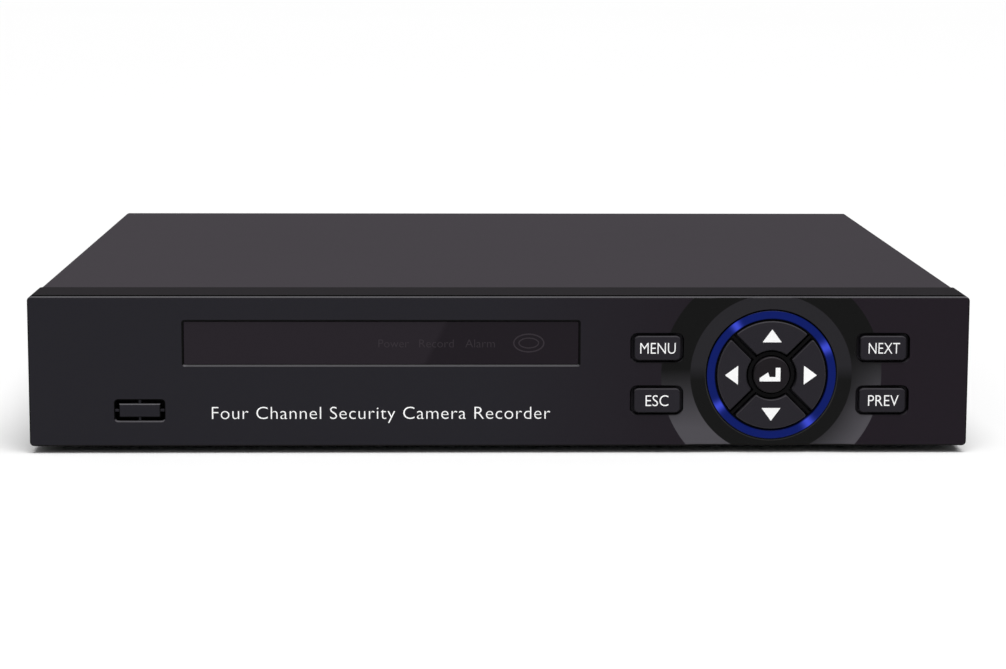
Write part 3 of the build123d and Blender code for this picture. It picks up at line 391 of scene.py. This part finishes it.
# A painted highlight: a thin pale line round the ring's hole, fading out above its lower half, where the
# edge faces the light.
ring_hole_highlight = from_pad.above(17.75 * MM, 0.1 * MM) * (1 - from_pad.above(18.1 * MM, 0.15 * MM))
ring_hole_highlight = ring_hole_highlight * on_face
shade = bezel.mix(ring_hole_highlight * (1 - z.above(2 * MM, 14 * MM)), shade, grey(0.030))
# Painted shade: the groove and the strip behind it, where shade falls, are painted near black.
groove_painted_shade = y.above(GROOVE_START, 0.1 * MM)
matt_top = y.above(GROOVE_END, 0.08 * MM)
shade = bezel.mix(groove_painted_shade, shade, grey(0.001))
shade = bezel.mix(matt_top, shade, grey(0.0125, WARM_GREY))
spark = bezel.noise(0.25 * MM, detail=2.0)
bezel_plastic = bezel.set(
    base_color=shade,
    roughness=0.46 + spark * 0.06 + matt_top * 0.15 - painted_highlight_rims * 0.15,
    specular_ior_level=0.08,
    normal=bezel.relief(spark, 0.006 * MM, 0.35),
)

# %% [markdown]
# The window is a strip of smoked acrylic, polished. Its colour is two near-black tones that meet
# on a slant, a painted reflection on the glossy lens. Real transmission would show only the dark
# inside and add noise, so the lens is painted as it looks. A slanted edge is one sum: the distance
# along a tilted line.

# %% Smoked lens
lens = Recipe("smoked_lens")
x, y, z = lens.axes((LENS.x, FACE, LENS.z))
# The lighter left and darker right tones are a painted reflection on the glossy lens.
slant = (x - 14.7 * MM - z * 0.5).above(0.0, 1.6 * MM)
haze = lens.noise(30 * MM, detail=2.0)
smoked_lens = lens.set(
    base_color=lens.mix(slant, (0.0140, 0.0103, 0.0148, 1.0), (0.0083, 0.0054, 0.0089, 1.0)),
    roughness=0.12 + haze * 0.04,
    specular_ior_level=0.1,
)

# %% [markdown]
# The light guide is blue acrylic over four lamps. Light leaves it most where a lamp stands
# behind, so its glow is four narrow lobes round the ring. Four real lamps behind clear plastic
# would need caustics. Instead the guide itself glows: the angle of a point comes from an
# arctangent node, and each lobe is a cosine raised to a high power.

# %% Ring light
ring = Recipe("ring_light")
x, y, z = ring.axes((PAD.x, FACE, PAD.z))
turn = ring.node("ShaderNodeMath", {"operation": "ARCTAN2"}, (z, x))
LOBES = ((27, 460), (126, 760), (211, 620), (308, 460))
glow = 0.0
for lamp_angle, power in LOBES:
    away = turn - math.radians(lamp_angle)
    lobe = (away.math("COSINE", away) * 0.5 + 0.5) ** power
    glow = lobe + glow
from_pad = (x * x + z * z).root()
lit = from_pad.above(15.45 * MM, 0.35 * MM) * (1 - from_pad.above(17.52 * MM, 0.2 * MM))
dim = ring.mix(lit, grey(0.0), (0.002, 0.0075, 0.085, 1.0))
ring_light = ring.set(
    base_color=ring.mix(lit, grey(0.001), (0.0, 0.002, 0.040, 1.0)),
    roughness=0.25,
    specular_ior_level=0.06,
    emission_color=ring.mix((glow * lit).clamped(), dim, (0.044, 0.066, 0.58, 1.0)),
    emission_strength=1.0,
)

# %% [markdown]
# ## Keys, print and small plastics
# One function makes every plain moulding, because they differ only in colour, gloss and grain.
# The print is white pad-printing ink: flat, opaque and slightly satin. The words behind the
# window use a faint ink, and those on the rear a grey one.

# %% Plain plastics


def moulded(name, color, roughness, gloss_level=0.35, grain=0.3 * MM, depth=0.008 * MM):
    """Moulded plastic: a fine tool texture and a slight drift in shade."""
    plastic = Recipe(name)
    texture = plastic.noise(grain, detail=2.0)
    drift = plastic.noise(12 * MM, detail=2.0)
    dark = tuple(c * 0.9 for c in color) + (1.0,)
    light_side = tuple(c * 1.1 for c in color) + (1.0,)
    return plastic.set(
        base_color=plastic.mix(drift, dark, light_side),
        roughness=texture * 0.08 + roughness,
        specular_ior_level=gloss_level,
        normal=plastic.relief(texture, depth, 0.4),
    )


pad_plastic = moulded("pad_plastic", (0.0018, 0.0016, 0.0020), 0.5, 0.08)
plunger_plastic = moulded("plunger_plastic", (0.3, 0.3, 0.29), 0.45)
black_plastic = moulded("black_plastic", (0.012, 0.012, 0.013), 0.45)
white_plastic = moulded("white_plastic", (0.62, 0.6, 0.54), 0.42)
blue_plastic = moulded("blue_plastic", (0.02, 0.05, 0.3), 0.42)
foot_rubber = moulded("foot_rubber", (0.014, 0.014, 0.015), 0.75, 0.3, 0.8 * MM, 0.03 * MM)
white_ink = moulded("white_ink", (0.93, 0.93, 0.93), 0.55, 0.2, 0.2 * MM, 0.002 * MM)
faint_ink = moulded("faint_ink", (0.031, 0.025, 0.031), 0.4, 0.1, 0.2 * MM, 0.002 * MM)
grey_ink = moulded("grey_ink", (0.55, 0.55, 0.56), 0.55, 0.2, 0.2 * MM, 0.002 * MM)
ribbon_vinyl = moulded("ribbon_vinyl", (0.4, 0.4, 0.41), 0.5)

# %% [markdown]
# The two audio inserts are told apart by colour, one white and one red. They are one CAD node, so
# instead of two materials there is one, in which the side of the pair decides the colour.

# %% Audio inserts
audio = Recipe("audio_plastic")
x, y, z = audio.axes(middle("rca_inserts"))
haze = audio.noise(0.3 * MM)
red_side = x.above(0.0, 1 * MM)
audio_plastic = audio.set(
    base_color=audio.mix(red_side, (0.62, 0.60, 0.54, 1.0), (0.42, 0.02, 0.02, 1.0)),
    roughness=haze * 0.08 + 0.4,
    specular_ior_level=0.35,
)

# %% [markdown]
# A key cap's rounded rim gets the same painted highlight and painted shade as the bezel's, so it
# reuses the same masks. The caps stand proud of the face, and their depth is counted from their
# own tops.

# %% Key caps


def key_cap(name, color, painted_highlight_color):
    """Key plastic with painted shade on its sides and painted highlights on the rims that tip up or face out
    of the pad.
    """
    cap = Recipe(name)
    texture = cap.noise(0.3 * MM, detail=2.0)
    x, y, z = cap.axes((PAD.x, front_of("key_up"), PAD.z))
    painted_highlight_rims, painted_shade_rims = rims(cap, y - 0.4 * MM)
    from_pad = (x * x + z * z).root()
    right, back, up = cap.facing()
    outward = ((right * x + up * z) / from_pad).above(0.3, 0.3) * (1 - from_pad.above(16 * MM, 0.5 * MM))
    painted_outward_highlight = painted_shade_rims * outward * from_pad.above(11 * MM, 1 * MM)
    # Painted shade darkens the caps' sides, and a painted highlight lightens rims that tip up or face out of
    # the pad.
    shade = cap.mix(painted_shade_rims * 0.5, color, grey(0.003))
    return cap.set(
        base_color=cap.mix((painted_highlight_rims + painted_outward_highlight * 0.7).clamped(), shade, painted_highlight_color),
        roughness=texture * 0.08 + 0.42,
        specular_ior_level=0.12,
        normal=cap.relief(texture, 0.008 * MM, 0.4),
    )


key_plastic = key_cap("key_plastic", (0.0150, 0.0133, 0.0180, 1.0), (0.040, 0.037, 0.043, 1.0))
enter_plastic = key_cap("enter_plastic", (0.0085, 0.0065, 0.0085, 1.0), (0.030, 0.026, 0.030, 1.0))

# %% [markdown]
# Metals differ in how they were worked. Rolled steel has fine streaks one way, plating is
# bright with faint swirls, a casting is grainy and dull.

# %% Metals


def metal(name, color, roughness, grain, stretch=(1, 1, 1), depth=0.004 * MM, spread=0.12):
    """Bare or plated metal: streaks or grain in its gloss and a trace of relief."""
    plate = Recipe(name)
    streaks = plate.noise(grain, detail=3.0, stretch=stretch)
    stain = plate.noise(9 * MM, detail=3.0)
    dull = tuple(c * 0.82 for c in color) + (1.0,)
    return plate.set(
        base_color=plate.mix(stain * 0.6 + streaks * 0.3, dull, color + (1.0,)),
        metallic=1.0,
        roughness=streaks * spread + roughness,
        normal=plate.relief(streaks, depth, 0.5),
    )


nickel = metal("bright_nickel", (0.68, 0.66, 0.61), 0.16, 0.6 * MM)
gold = metal("contact_gold", (0.83, 0.6, 0.26), 0.22, 0.3 * MM)
zinc = metal("screw_zinc", (0.62, 0.62, 0.58), 0.3, 0.5 * MM)
black_oxide = metal("screw_black", (0.055, 0.053, 0.055), 0.38, 0.4 * MM)
aluminium = metal("sink_aluminium", (0.66, 0.67, 0.68), 0.34, 0.5 * MM, depth=0.02 * MM)
steel = metal("plain_steel", (0.6, 0.6, 0.59), 0.24, 0.4 * MM, stretch=(0.02, 1, 1))

# %% [markdown]
# A circuit board is glass laminate under green lacquer. Copper tracks show through as slightly
# paler, slightly raised lines. A brick pattern gives runs of parallel tracks, and bright dots
# where cell noise is lowest stand for the plated holes.

# %% Circuit boards
board = Recipe("board_laminate")
lift = board.node("ShaderNodeMapping", None, {"Vector": board.place, "Scale": (260, 520, 260)})
tracks = board.node("ShaderNodeTexBrick", None, {
    "Vector": lift, "Color1": grey(0.0), "Color2": grey(0.25), "Mortar": grey(1.0),
    "Mortar Size": 0.06, "Scale": 1.0,
})
holes = 1 - board.cells(3.2 * MM).above(0.13, 0.03)
laminate = board.mix(tracks * 0.8, (0.006, 0.055, 0.02, 1.0), (0.02, 0.13, 0.05, 1.0))
board_laminate = board.set(
    base_color=board.mix(holes, laminate, (0.7, 0.55, 0.25, 1.0)),
    metallic=holes,
    roughness=0.32 - holes * 0.05,
    normal=board.relief(tracks + holes, 0.03 * MM, 0.4),
)

# %% [markdown]
# Indicator lamps are cast in clear resin, so light passes through them. The drive's two leads
# share one node, as the audio inserts do, and a tilted line between them gives each its own red.

# %% Lamps and leads
clear = Recipe("clear_lamp")
swirl = clear.noise(2 * MM)
clear_lamp = clear.set(
    base_color=clear.mix(swirl, grey(0.6, (0.95, 1.0, 1.05)), grey(0.8)),
    roughness=0.12,
    transmission_weight=0.6,
    ior=1.5,
)
leads = Recipe("lead_sleeve")
x, y, z = leads.axes(middle("drive_cables"))
data_side = (y - x * 0.3).above(0.0, 1 * MM)
sleeve = leads.noise(6 * MM)
lead_sleeve = leads.set(
    base_color=leads.mix(data_side, (0.35, 0.03, 0.02, 1.0), (0.30, 0.05, 0.02, 1.0)),
    roughness=0.35 + sleeve * 0.1,
)
print("materials:", len(bpy.data.materials))

# %% [markdown]
# Now each CAD node gets its finish. Assigning to the material slot leaves the mesh as it is. The
# table below reads as a bill of materials: a finish and the nodes that have it.

# %% Give the CAD nodes their finishes
FINISHES = {
    "bezel_plastic": (bezel_plastic, ["front_bezel"]),
    "smoked_lens": (smoked_lens, ["display_window"]),
    "ring_light": (ring_light, ["ring_light_guide"]),
    "pad_plastic": (pad_plastic, ["dpad_frame"]),
    "cover_paint": (cover_paint, ["top_cover"]),
    "tray_steel": (tray_paint, ["base_chassis"]),
    "foot_rubber": (foot_rubber, ["rubber_feet"]),
    "screw_black": (black_oxide, ["cover_screws"]),
    "screw_zinc": (zinc, ["bezel_screws", "inner_screws"]),
    "board_laminate": (board_laminate, ["key_board", "main_board"]),
    "black_plastic": (black_plastic, [
        "switch_housings", "board_chips", "bnc_housings", "rca_bodies", "dc_jack_body", "hdmi_tongue",
        "infrared_receiver",
    ]),
    "clear_lamp": (clear_lamp, ["indicator_leds", "ring_leds"]),
    "white_plastic": (white_plastic, ["board_sockets", "bnc_insulators", "usb_tongues"]),
    "audio_plastic": (audio_plastic, ["rca_inserts"]),
    "sink_aluminium": (aluminium, ["heat_sink", "board_capacitors", "hard_drive_casting"]),
    "plain_steel": (steel, ["coin_cell", "hard_drive_lid"]),
    "lead_sleeve": (lead_sleeve, ["drive_cables"]),
    "ribbon_vinyl": (ribbon_vinyl, ["key_ribbon_cable"]),
    "bright_nickel": (nickel, [
        "bnc_shells", "bnc_nuts", "rca_shells", "vga_shell", "vga_jackscrews", "hdmi_shell", "lan_socket",
        "usb_shell",
    ]),
    "contact_gold": (gold, ["rear_contacts"]),
    "blue_plastic": (blue_plastic, ["vga_insert"]),
}
KEYS = ("up", "down", "left", "right", "enter", "menu", "esc", "next", "prev")
FINISHES["key_plastic"] = (key_plastic, [f"key_{key}" for key in KEYS if key != "enter"])
FINISHES["plunger_plastic"] = (plunger_plastic, [f"switch_plunger_{key}" for key in KEYS])


def paint(node, material):
    """Puts one material on a CAD node."""
    mesh = frame["nodes"][node].data
    mesh.materials.clear()
    mesh.materials.append(material)


for material, nodes in FINISHES.values():
    for node in nodes:
        paint(node, material)
paint("key_enter", enter_plastic)

# %% [markdown]
# ## Print on the front
# Printed words start as text objects. Each is turned into a mesh, measured, and scaled to the
# height of its capitals and the width of its line, so the result doesn't depend on the font's
# own units. It stands a hair proud of its surface, as ink does.

# %% Ink helpers
INK = 0.02 * MM
WORD_T = 0.01
TOWARDS_FRONT = Matrix.Rotation(math.radians(90), 4, "X")
TOWARDS_REAR = Matrix.Rotation(math.radians(180), 4, "Z") @ TOWARDS_FRONT


def settle(piece, place, facing=TOWARDS_FRONT):
    """Turns a flat mesh to face front or rear, and puts its place in the mesh."""
    piece.data.transform(Matrix.Translation(place) @ facing @ piece.matrix_world)
    piece.matrix_world = Matrix.Identity(4)
    piece.data.update()
    return piece


def finish_piece(piece, name, material, body="case"):
    """Names a piece, paints it and lets it ride on its body."""
    piece.name = name
    piece.data.materials.clear()
    piece.data.materials.append(material)
    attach(piece, body)
    return piece


def flat_words(text, weight=0.0, tracking=1.0):
    """A word as a thin mesh in the XY plane, middle at the origin, with its size."""
    bpy.ops.object.select_all(action="DESELECT")
    bpy.ops.object.text_add()
    piece = bpy.context.object
    piece.data.body = text
    piece.data.extrude = WORD_T
    piece.data.offset = weight
    piece.data.space_character = tracking
    piece.data.resolution_u = 4
    bpy.ops.object.convert(target="MESH")
    points = [v.co.copy() for v in piece.data.vertices]
    low = Vector([min(p[n] for p in points) for n in range(3)])
    high = Vector([max(p[n] for p in points) for n in range(3)])
    return piece, low, high


sample, low, high = flat_words("H")
CAPITAL = high.y - low.y
bpy.data.objects.remove(sample)
print("capital height of the font:", round(CAPITAL, 3))


def printed(name, text, place, size, material, slot, body="case", facing=TOWARDS_FRONT, **style):
    """A printed word: its middle, and the width of its line and height of its capitals."""
    width, capital = size
    piece, low, high = flat_words(text, **style)
    piece.data.transform(Matrix.Translation((-(low.x + high.x) / 2, -CAPITAL / 2, 0)))
    stretch = (width / (high.x - low.x), capital / CAPITAL, INK / WORD_T, 1)
    piece.data.transform(Matrix.Diagonal(stretch))
    settle(piece, place, facing)
    return finish_piece(piece, name, material, body)


# %% [markdown]
# Each side key carries its function. A legend is centred on its key's box, apart from a slight
# shift, since pad printing is never quite true, and it rides on the key, so that it moves when
# the key is pressed.

# %% Words on the four side keys
LEGENDS = {"menu": (9.6, 0.1), "esc": (6.2, 0.0), "next": (8.5, 0.25), "prev": (8.3, 0.3)}
LEGEND_CAPITAL = 3.0 * MM
for key, (width, shift) in LEGENDS.items():
    spot = middle(f"key_{key}")
    spot.x += shift * MM
    spot.y = front_of(f"key_{key}")
    legend = (f"legend_{key}", key.upper(), spot, (width * MM, LEGEND_CAPITAL), white_ink)
    printed(*legend, "key_plastic", f"{key}_key", weight=-0.008)

# %% [markdown]
# The line of text names the product in plain words. The built-in font is a little heavy for
# print of this size, so its outline is drawn in by a small negative offset.

# %% The line of text on the face
TITLE = "Four Channel Security Camera Recorder"
title_at = Vector((-32.2 * MM, FACE, BEZEL_LOW.z + 9.2 * MM))
title = printed(
    "front_title", TITLE, title_at, (91.8 * MM, 3.4 * MM), white_ink, "bezel_plastic",
    weight=-0.012, tracking=1.06,
)
print("line of text:", len(title.data.polygons), "faces")

# %% [markdown]
# The window's words can only just be read: they are printed behind the lens and show when a
# lamp is lit. The mark round the remote's eye is two nested ovals, each a circle that is
# stretched and given a rim by insetting its face and deleting the middle.

# %% Words and ovals in the window
lens_face = front_of("display_window")
for word, at_x, width in (("Power", -28.8, 8.2), ("Record", -17.2, 9.3), ("Alarm", -5.4, 8.0)):
    spot = Vector((at_x * MM, lens_face, LENS.z - 0.1 * MM))
    words = (f"window_{word.lower()}", word, spot, (width * MM, 2.2 * MM), faint_ink)
    printed(*words, "smoked_lens", weight=-0.012)


def oval_ring(name, width, height, rim, place):
    """A flat oval ring with thickness: a filled circle, inset, opened and extruded."""
    bpy.ops.object.select_all(action="DESELECT")
    bpy.ops.mesh.primitive_circle_add(vertices=64, radius=0.5, fill_type="NGON")
    piece = bpy.context.object
    piece.data.transform(Matrix.Diagonal((width, height, 1, 1)))
    bpy.ops.object.mode_set(mode="EDIT")
    bpy.ops.mesh.select_all(action="SELECT")
    bpy.ops.mesh.inset(thickness=rim, depth=0)
    bpy.ops.mesh.delete(type="FACE")
    bpy.ops.mesh.select_all(action="SELECT")
    bpy.ops.mesh.extrude_region_move(TRANSFORM_OT_translate={"value": (0, 0, INK)})
    bpy.ops.mesh.select_all(action="SELECT")
    bpy.ops.mesh.normals_make_consistent(inside=False)
    bpy.ops.object.mode_set(mode="OBJECT")
    settle(piece, place)
    return finish_piece(piece, name, faint_ink)


eye_at = Vector((middle("infrared_receiver").x, lens_face, LENS.z))
oval_ring("eye_outer_oval", 8.5 * MM, 5.2 * MM, 0.35 * MM, eye_at)
oval_ring("eye_inner_oval", 5.6 * MM, 3.0 * MM, 0.3 * MM, eye_at)

# %% [markdown]
# An arrow is a three-sided prism: a cylinder with three sides gives it at once, where a drawn
# outline would need its corners worked out. The corners are softened by bevelling the three
# upright edges, which are picked by their direction: both ends share the same X and Y.

# %% Arrows on the pad


def select_edges(piece, wanted):
    """Selects the edges of a mesh that a test accepts. Leaves edit mode on, in edge mode."""
    bpy.ops.object.mode_set(mode="EDIT")
    bpy.ops.mesh.select_mode(type="EDGE")
    bpy.ops.mesh.select_all(action="DESELECT")
    cage = bmesh.from_edit_mesh(piece.data)
    for edge in cage.edges:
        edge.select_set(wanted(edge.verts[0].co, edge.verts[1].co))
    cage.select_flush_mode()
    bmesh.update_edit_mesh(piece.data)


def arrow(key, quarter_turns, reach):
    """A triangle whose point is that far from the middle of the pad."""
    base, tall = 5.2 * MM, 3.55 * MM
    bpy.ops.object.select_all(action="DESELECT")
    bpy.ops.mesh.primitive_cylinder_add(vertices=3, radius=1.0, depth=2 * INK)
    piece = bpy.context.object
    piece.data.transform(Matrix.Diagonal((base / math.sqrt(3), tall / 1.5, 1, 1)))
    select_edges(piece, lambda a, b: (a.xy - b.xy).length < 1e-7)
    bpy.ops.mesh.bevel(offset=0.16 * MM, segments=3, affect="EDGES")
    bpy.ops.object.mode_set(mode="OBJECT")
    tip = max(v.co.y for v in piece.data.vertices)
    turned = Matrix.Rotation(math.radians(90) * quarter_turns, 4, "Z")
    piece.data.transform(turned @ Matrix.Translation((0, reach - tip, 0)))
    settle(piece, Vector((PAD.x, front_of(f"key_{key}"), PAD.z)))
    return finish_piece(piece, f"arrow_{key}", white_ink, f"{key}_key")


REACHES = {"up": 12.5, "left": 12.6, "down": 12.5, "right": 12.25}
for turns, (key, reach) in enumerate(REACHES.items()):
    arrow(key, turns, reach * MM)

# %% [markdown]
# The return mark starts as one small square at the corner where its two strokes meet. Its top
# edge is extruded up for the tall stroke and its left edge along for the foot, and the foot's
# last stretch is raised into the arrow head.

# %% Return mark on the middle key


def return_mark():
    """A bent arrow, with its places measured from the middle of the key."""
    right, left, low, shelf, top = 2.4 * MM, -3.25 * MM, -1.7 * MM, -0.5 * MM, 2.05 * MM
    stem, barb_x, barb_top, barb_run = 1.1 * MM, -0.95 * MM, 0.78 * MM, 0.4 * MM
    near = 1e-6
    bpy.ops.object.select_all(action="DESELECT")
    bpy.ops.mesh.primitive_plane_add(size=1.0)
    piece = bpy.context.object
    square = Matrix.Translation(((right + stem) / 2, (low + shelf) / 2, -INK))
    piece.data.transform(square @ Matrix.Diagonal((right - stem, shelf - low, 1, 1)))
    select_edges(piece, lambda a, b: min(a.y, b.y) > shelf - near)
    bpy.ops.mesh.extrude_region_move(TRANSFORM_OT_translate={"value": (0, top - shelf, 0)})
    bpy.ops.object.mode_set(mode="OBJECT")
    select_edges(piece, lambda a, b: max(abs(a.x - stem), abs(b.x - stem)) < near and a.y + b.y < 2 * shelf)
    for run in (barb_x + barb_run - stem, -barb_run, left - barb_x):
        bpy.ops.mesh.extrude_region_move(TRANSFORM_OT_translate={"value": (run, 0, 0)})
    cage = bmesh.from_edit_mesh(piece.data)
    for corner in cage.verts:
        if abs(corner.co.x - barb_x) < near and corner.co.y > low + near:
            corner.co.y = barb_top
        if abs(corner.co.x - left) < near and corner.co.y > low + near:
            corner.co.y = low + 0.75 * (shelf - low)
    bmesh.update_edit_mesh(piece.data)
    bpy.ops.mesh.select_all(action="SELECT")
    bpy.ops.mesh.extrude_region_move(TRANSFORM_OT_translate={"value": (0, 0, 2 * INK)})
    bpy.ops.mesh.select_all(action="SELECT")
    bpy.ops.mesh.normals_make_consistent(inside=False)
    bpy.ops.mesh.dissolve_limited(angle_limit=math.radians(1))
    bpy.ops.object.mode_set(mode="OBJECT")
    select_edges(piece, lambda a, b: (a.xy - b.xy).length < near)
    bpy.ops.mesh.bevel(offset=0.12 * MM, segments=2, affect="EDGES")
    bpy.ops.object.mode_set(mode="OBJECT")
    settle(piece, Vector((PAD.x, front_of("key_enter"), PAD.z)))
    return finish_piece(piece, "return_mark", white_ink, "enter_key")


mark = return_mark()
print("return mark:", len(mark.data.polygons), "faces")

# %% [markdown]
# ## Behind the recorder
# The rear panel is printed above its sockets, in a grey ink that the powder coat soaks up a
# little. Each word is centred over the socket it names. The four video sockets are numbered,
# and a CAD node that holds several solids gives their places by its spread of points.

# %% Print on the rear panel
REAR_PRINT = (
    ("rear_audio", "AUDIO", middle("rca_shells").x, 9.0, 11.0),
    ("rear_monitor", "MONITOR", middle("vga_shell").x, 12.5, 11.0),
    ("rear_video_out", "VIDEO", middle("hdmi_shell").x, 8.6, 11.0),
    ("rear_network", "NETWORK", middle("lan_socket").x, 13.5, 11.0),
    ("rear_mouse", "MOUSE", middle("usb_shell").x, 10.0, 11.0),
    ("rear_power", "POWER", middle("dc_jack_body").x, 10.0, 11.0),
    ("rear_video_in", "VIDEO IN", middle("bnc_shells").x, 14.0, 14.5),
)
SOCKET_Z = middle("lan_socket").z
REAR_CAPITAL = 1.9 * MM
for name, text, at_x, width, rise in REAR_PRINT:
    spot = Vector((at_x, REAR_WALL, SOCKET_Z + rise * MM))
    words = (name, text, spot, (width * MM, REAR_CAPITAL), grey_ink)
    printed(*words, "tray_steel", facing=TOWARDS_REAR)

shells_low, shells_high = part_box("bnc_shells")
reach = (shells_high.z - shells_low.z) / 2
pitch = (shells_high.x - shells_low.x - 2 * reach) / 3
for number in range(4):
    spot = Vector((shells_high.x - reach - number * pitch, REAR_WALL, middle("bnc_shells").z + 9.4 * MM))
    words = (f"rear_input_{number + 1}", str(number + 1), spot, (1.2 * MM, REAR_CAPITAL), grey_ink)
    printed(*words, "tray_steel", facing=TOWARDS_REAR)

# %% [markdown]
# The network socket has two lamps, which shine through small lenses set into its shell. A lens
# is a cube with bevelled edges. The strips in the USB sockets are thin cubes too, four under
# each tongue.

# %% Small parts of the sockets
amber_lens = moulded("amber_lens", (0.62, 0.25, 0.02), 0.25, 0.5, 1 * MM, 0.001 * MM)
green_lens = moulded("green_lens", (0.05, 0.42, 0.05), 0.25, 0.5, 1 * MM, 0.001 * MM)


def block(name, size, place, bevel, material):
    """A small box with softened edges."""
    bpy.ops.object.select_all(action="DESELECT")
    bpy.ops.mesh.primitive_cube_add(size=1.0)
    piece = bpy.context.object
    piece.data.transform(Matrix.Translation(place) @ Matrix.Diagonal((*size, 1)))
    bpy.ops.object.mode_set(mode="EDIT")
    bpy.ops.mesh.select_all(action="SELECT")
    bpy.ops.mesh.bevel(offset=bevel, segments=2, affect="EDGES")
    bpy.ops.object.mode_set(mode="OBJECT")
    return finish_piece(piece, name, material)


lan_face = rear_of("lan_socket")
for name, side, lens_plastic in (("link_lens", -6.2, green_lens), ("activity_lens", 6.2, amber_lens)):
    spot = Vector((middle("lan_socket").x + side * MM, lan_face - 0.19 * MM, SOCKET_Z + 5.3 * MM))
    block(name, (2.4 * MM, 0.36 * MM, 1.4 * MM), spot, 0.08 * MM, lens_plastic)

tongues_low, tongues_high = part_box("usb_tongues")
TONGUE_T = 1.9 * MM
STRIP_SIZE = (1.0 * MM, 8.0 * MM, 0.2 * MM)
for level, under in (("upper", tongues_high.z - TONGUE_T), ("lower", tongues_low.z)):
    for number in range(4):
        at_x = middle("usb_tongues").x + (number - 1.5) * 2.3 * MM
        spot = Vector((at_x, tongues_high.y - 4.6 * MM, under - 0.06 * MM))
        name = f"usb_strip_{level}_{number + 1}"
        block(name, STRIP_SIZE, spot, 0.04 * MM, gold)
print("rear pieces:", len(REAR_PRINT) + 4 + 2 + 8)

# %% [markdown]
# ## Floor finish, and the end
# The floor is matt off-white.

# %% Floor finish
paper = Recipe("floor_paper")
fibre = paper.noise(2.0, detail=2.0)
floor.data.materials.append(paper.set(
    base_color=paper.mix(fibre, grey(0.86), grey(0.88)),
    roughness=0.9,
    specular_ior_level=0.1,
))
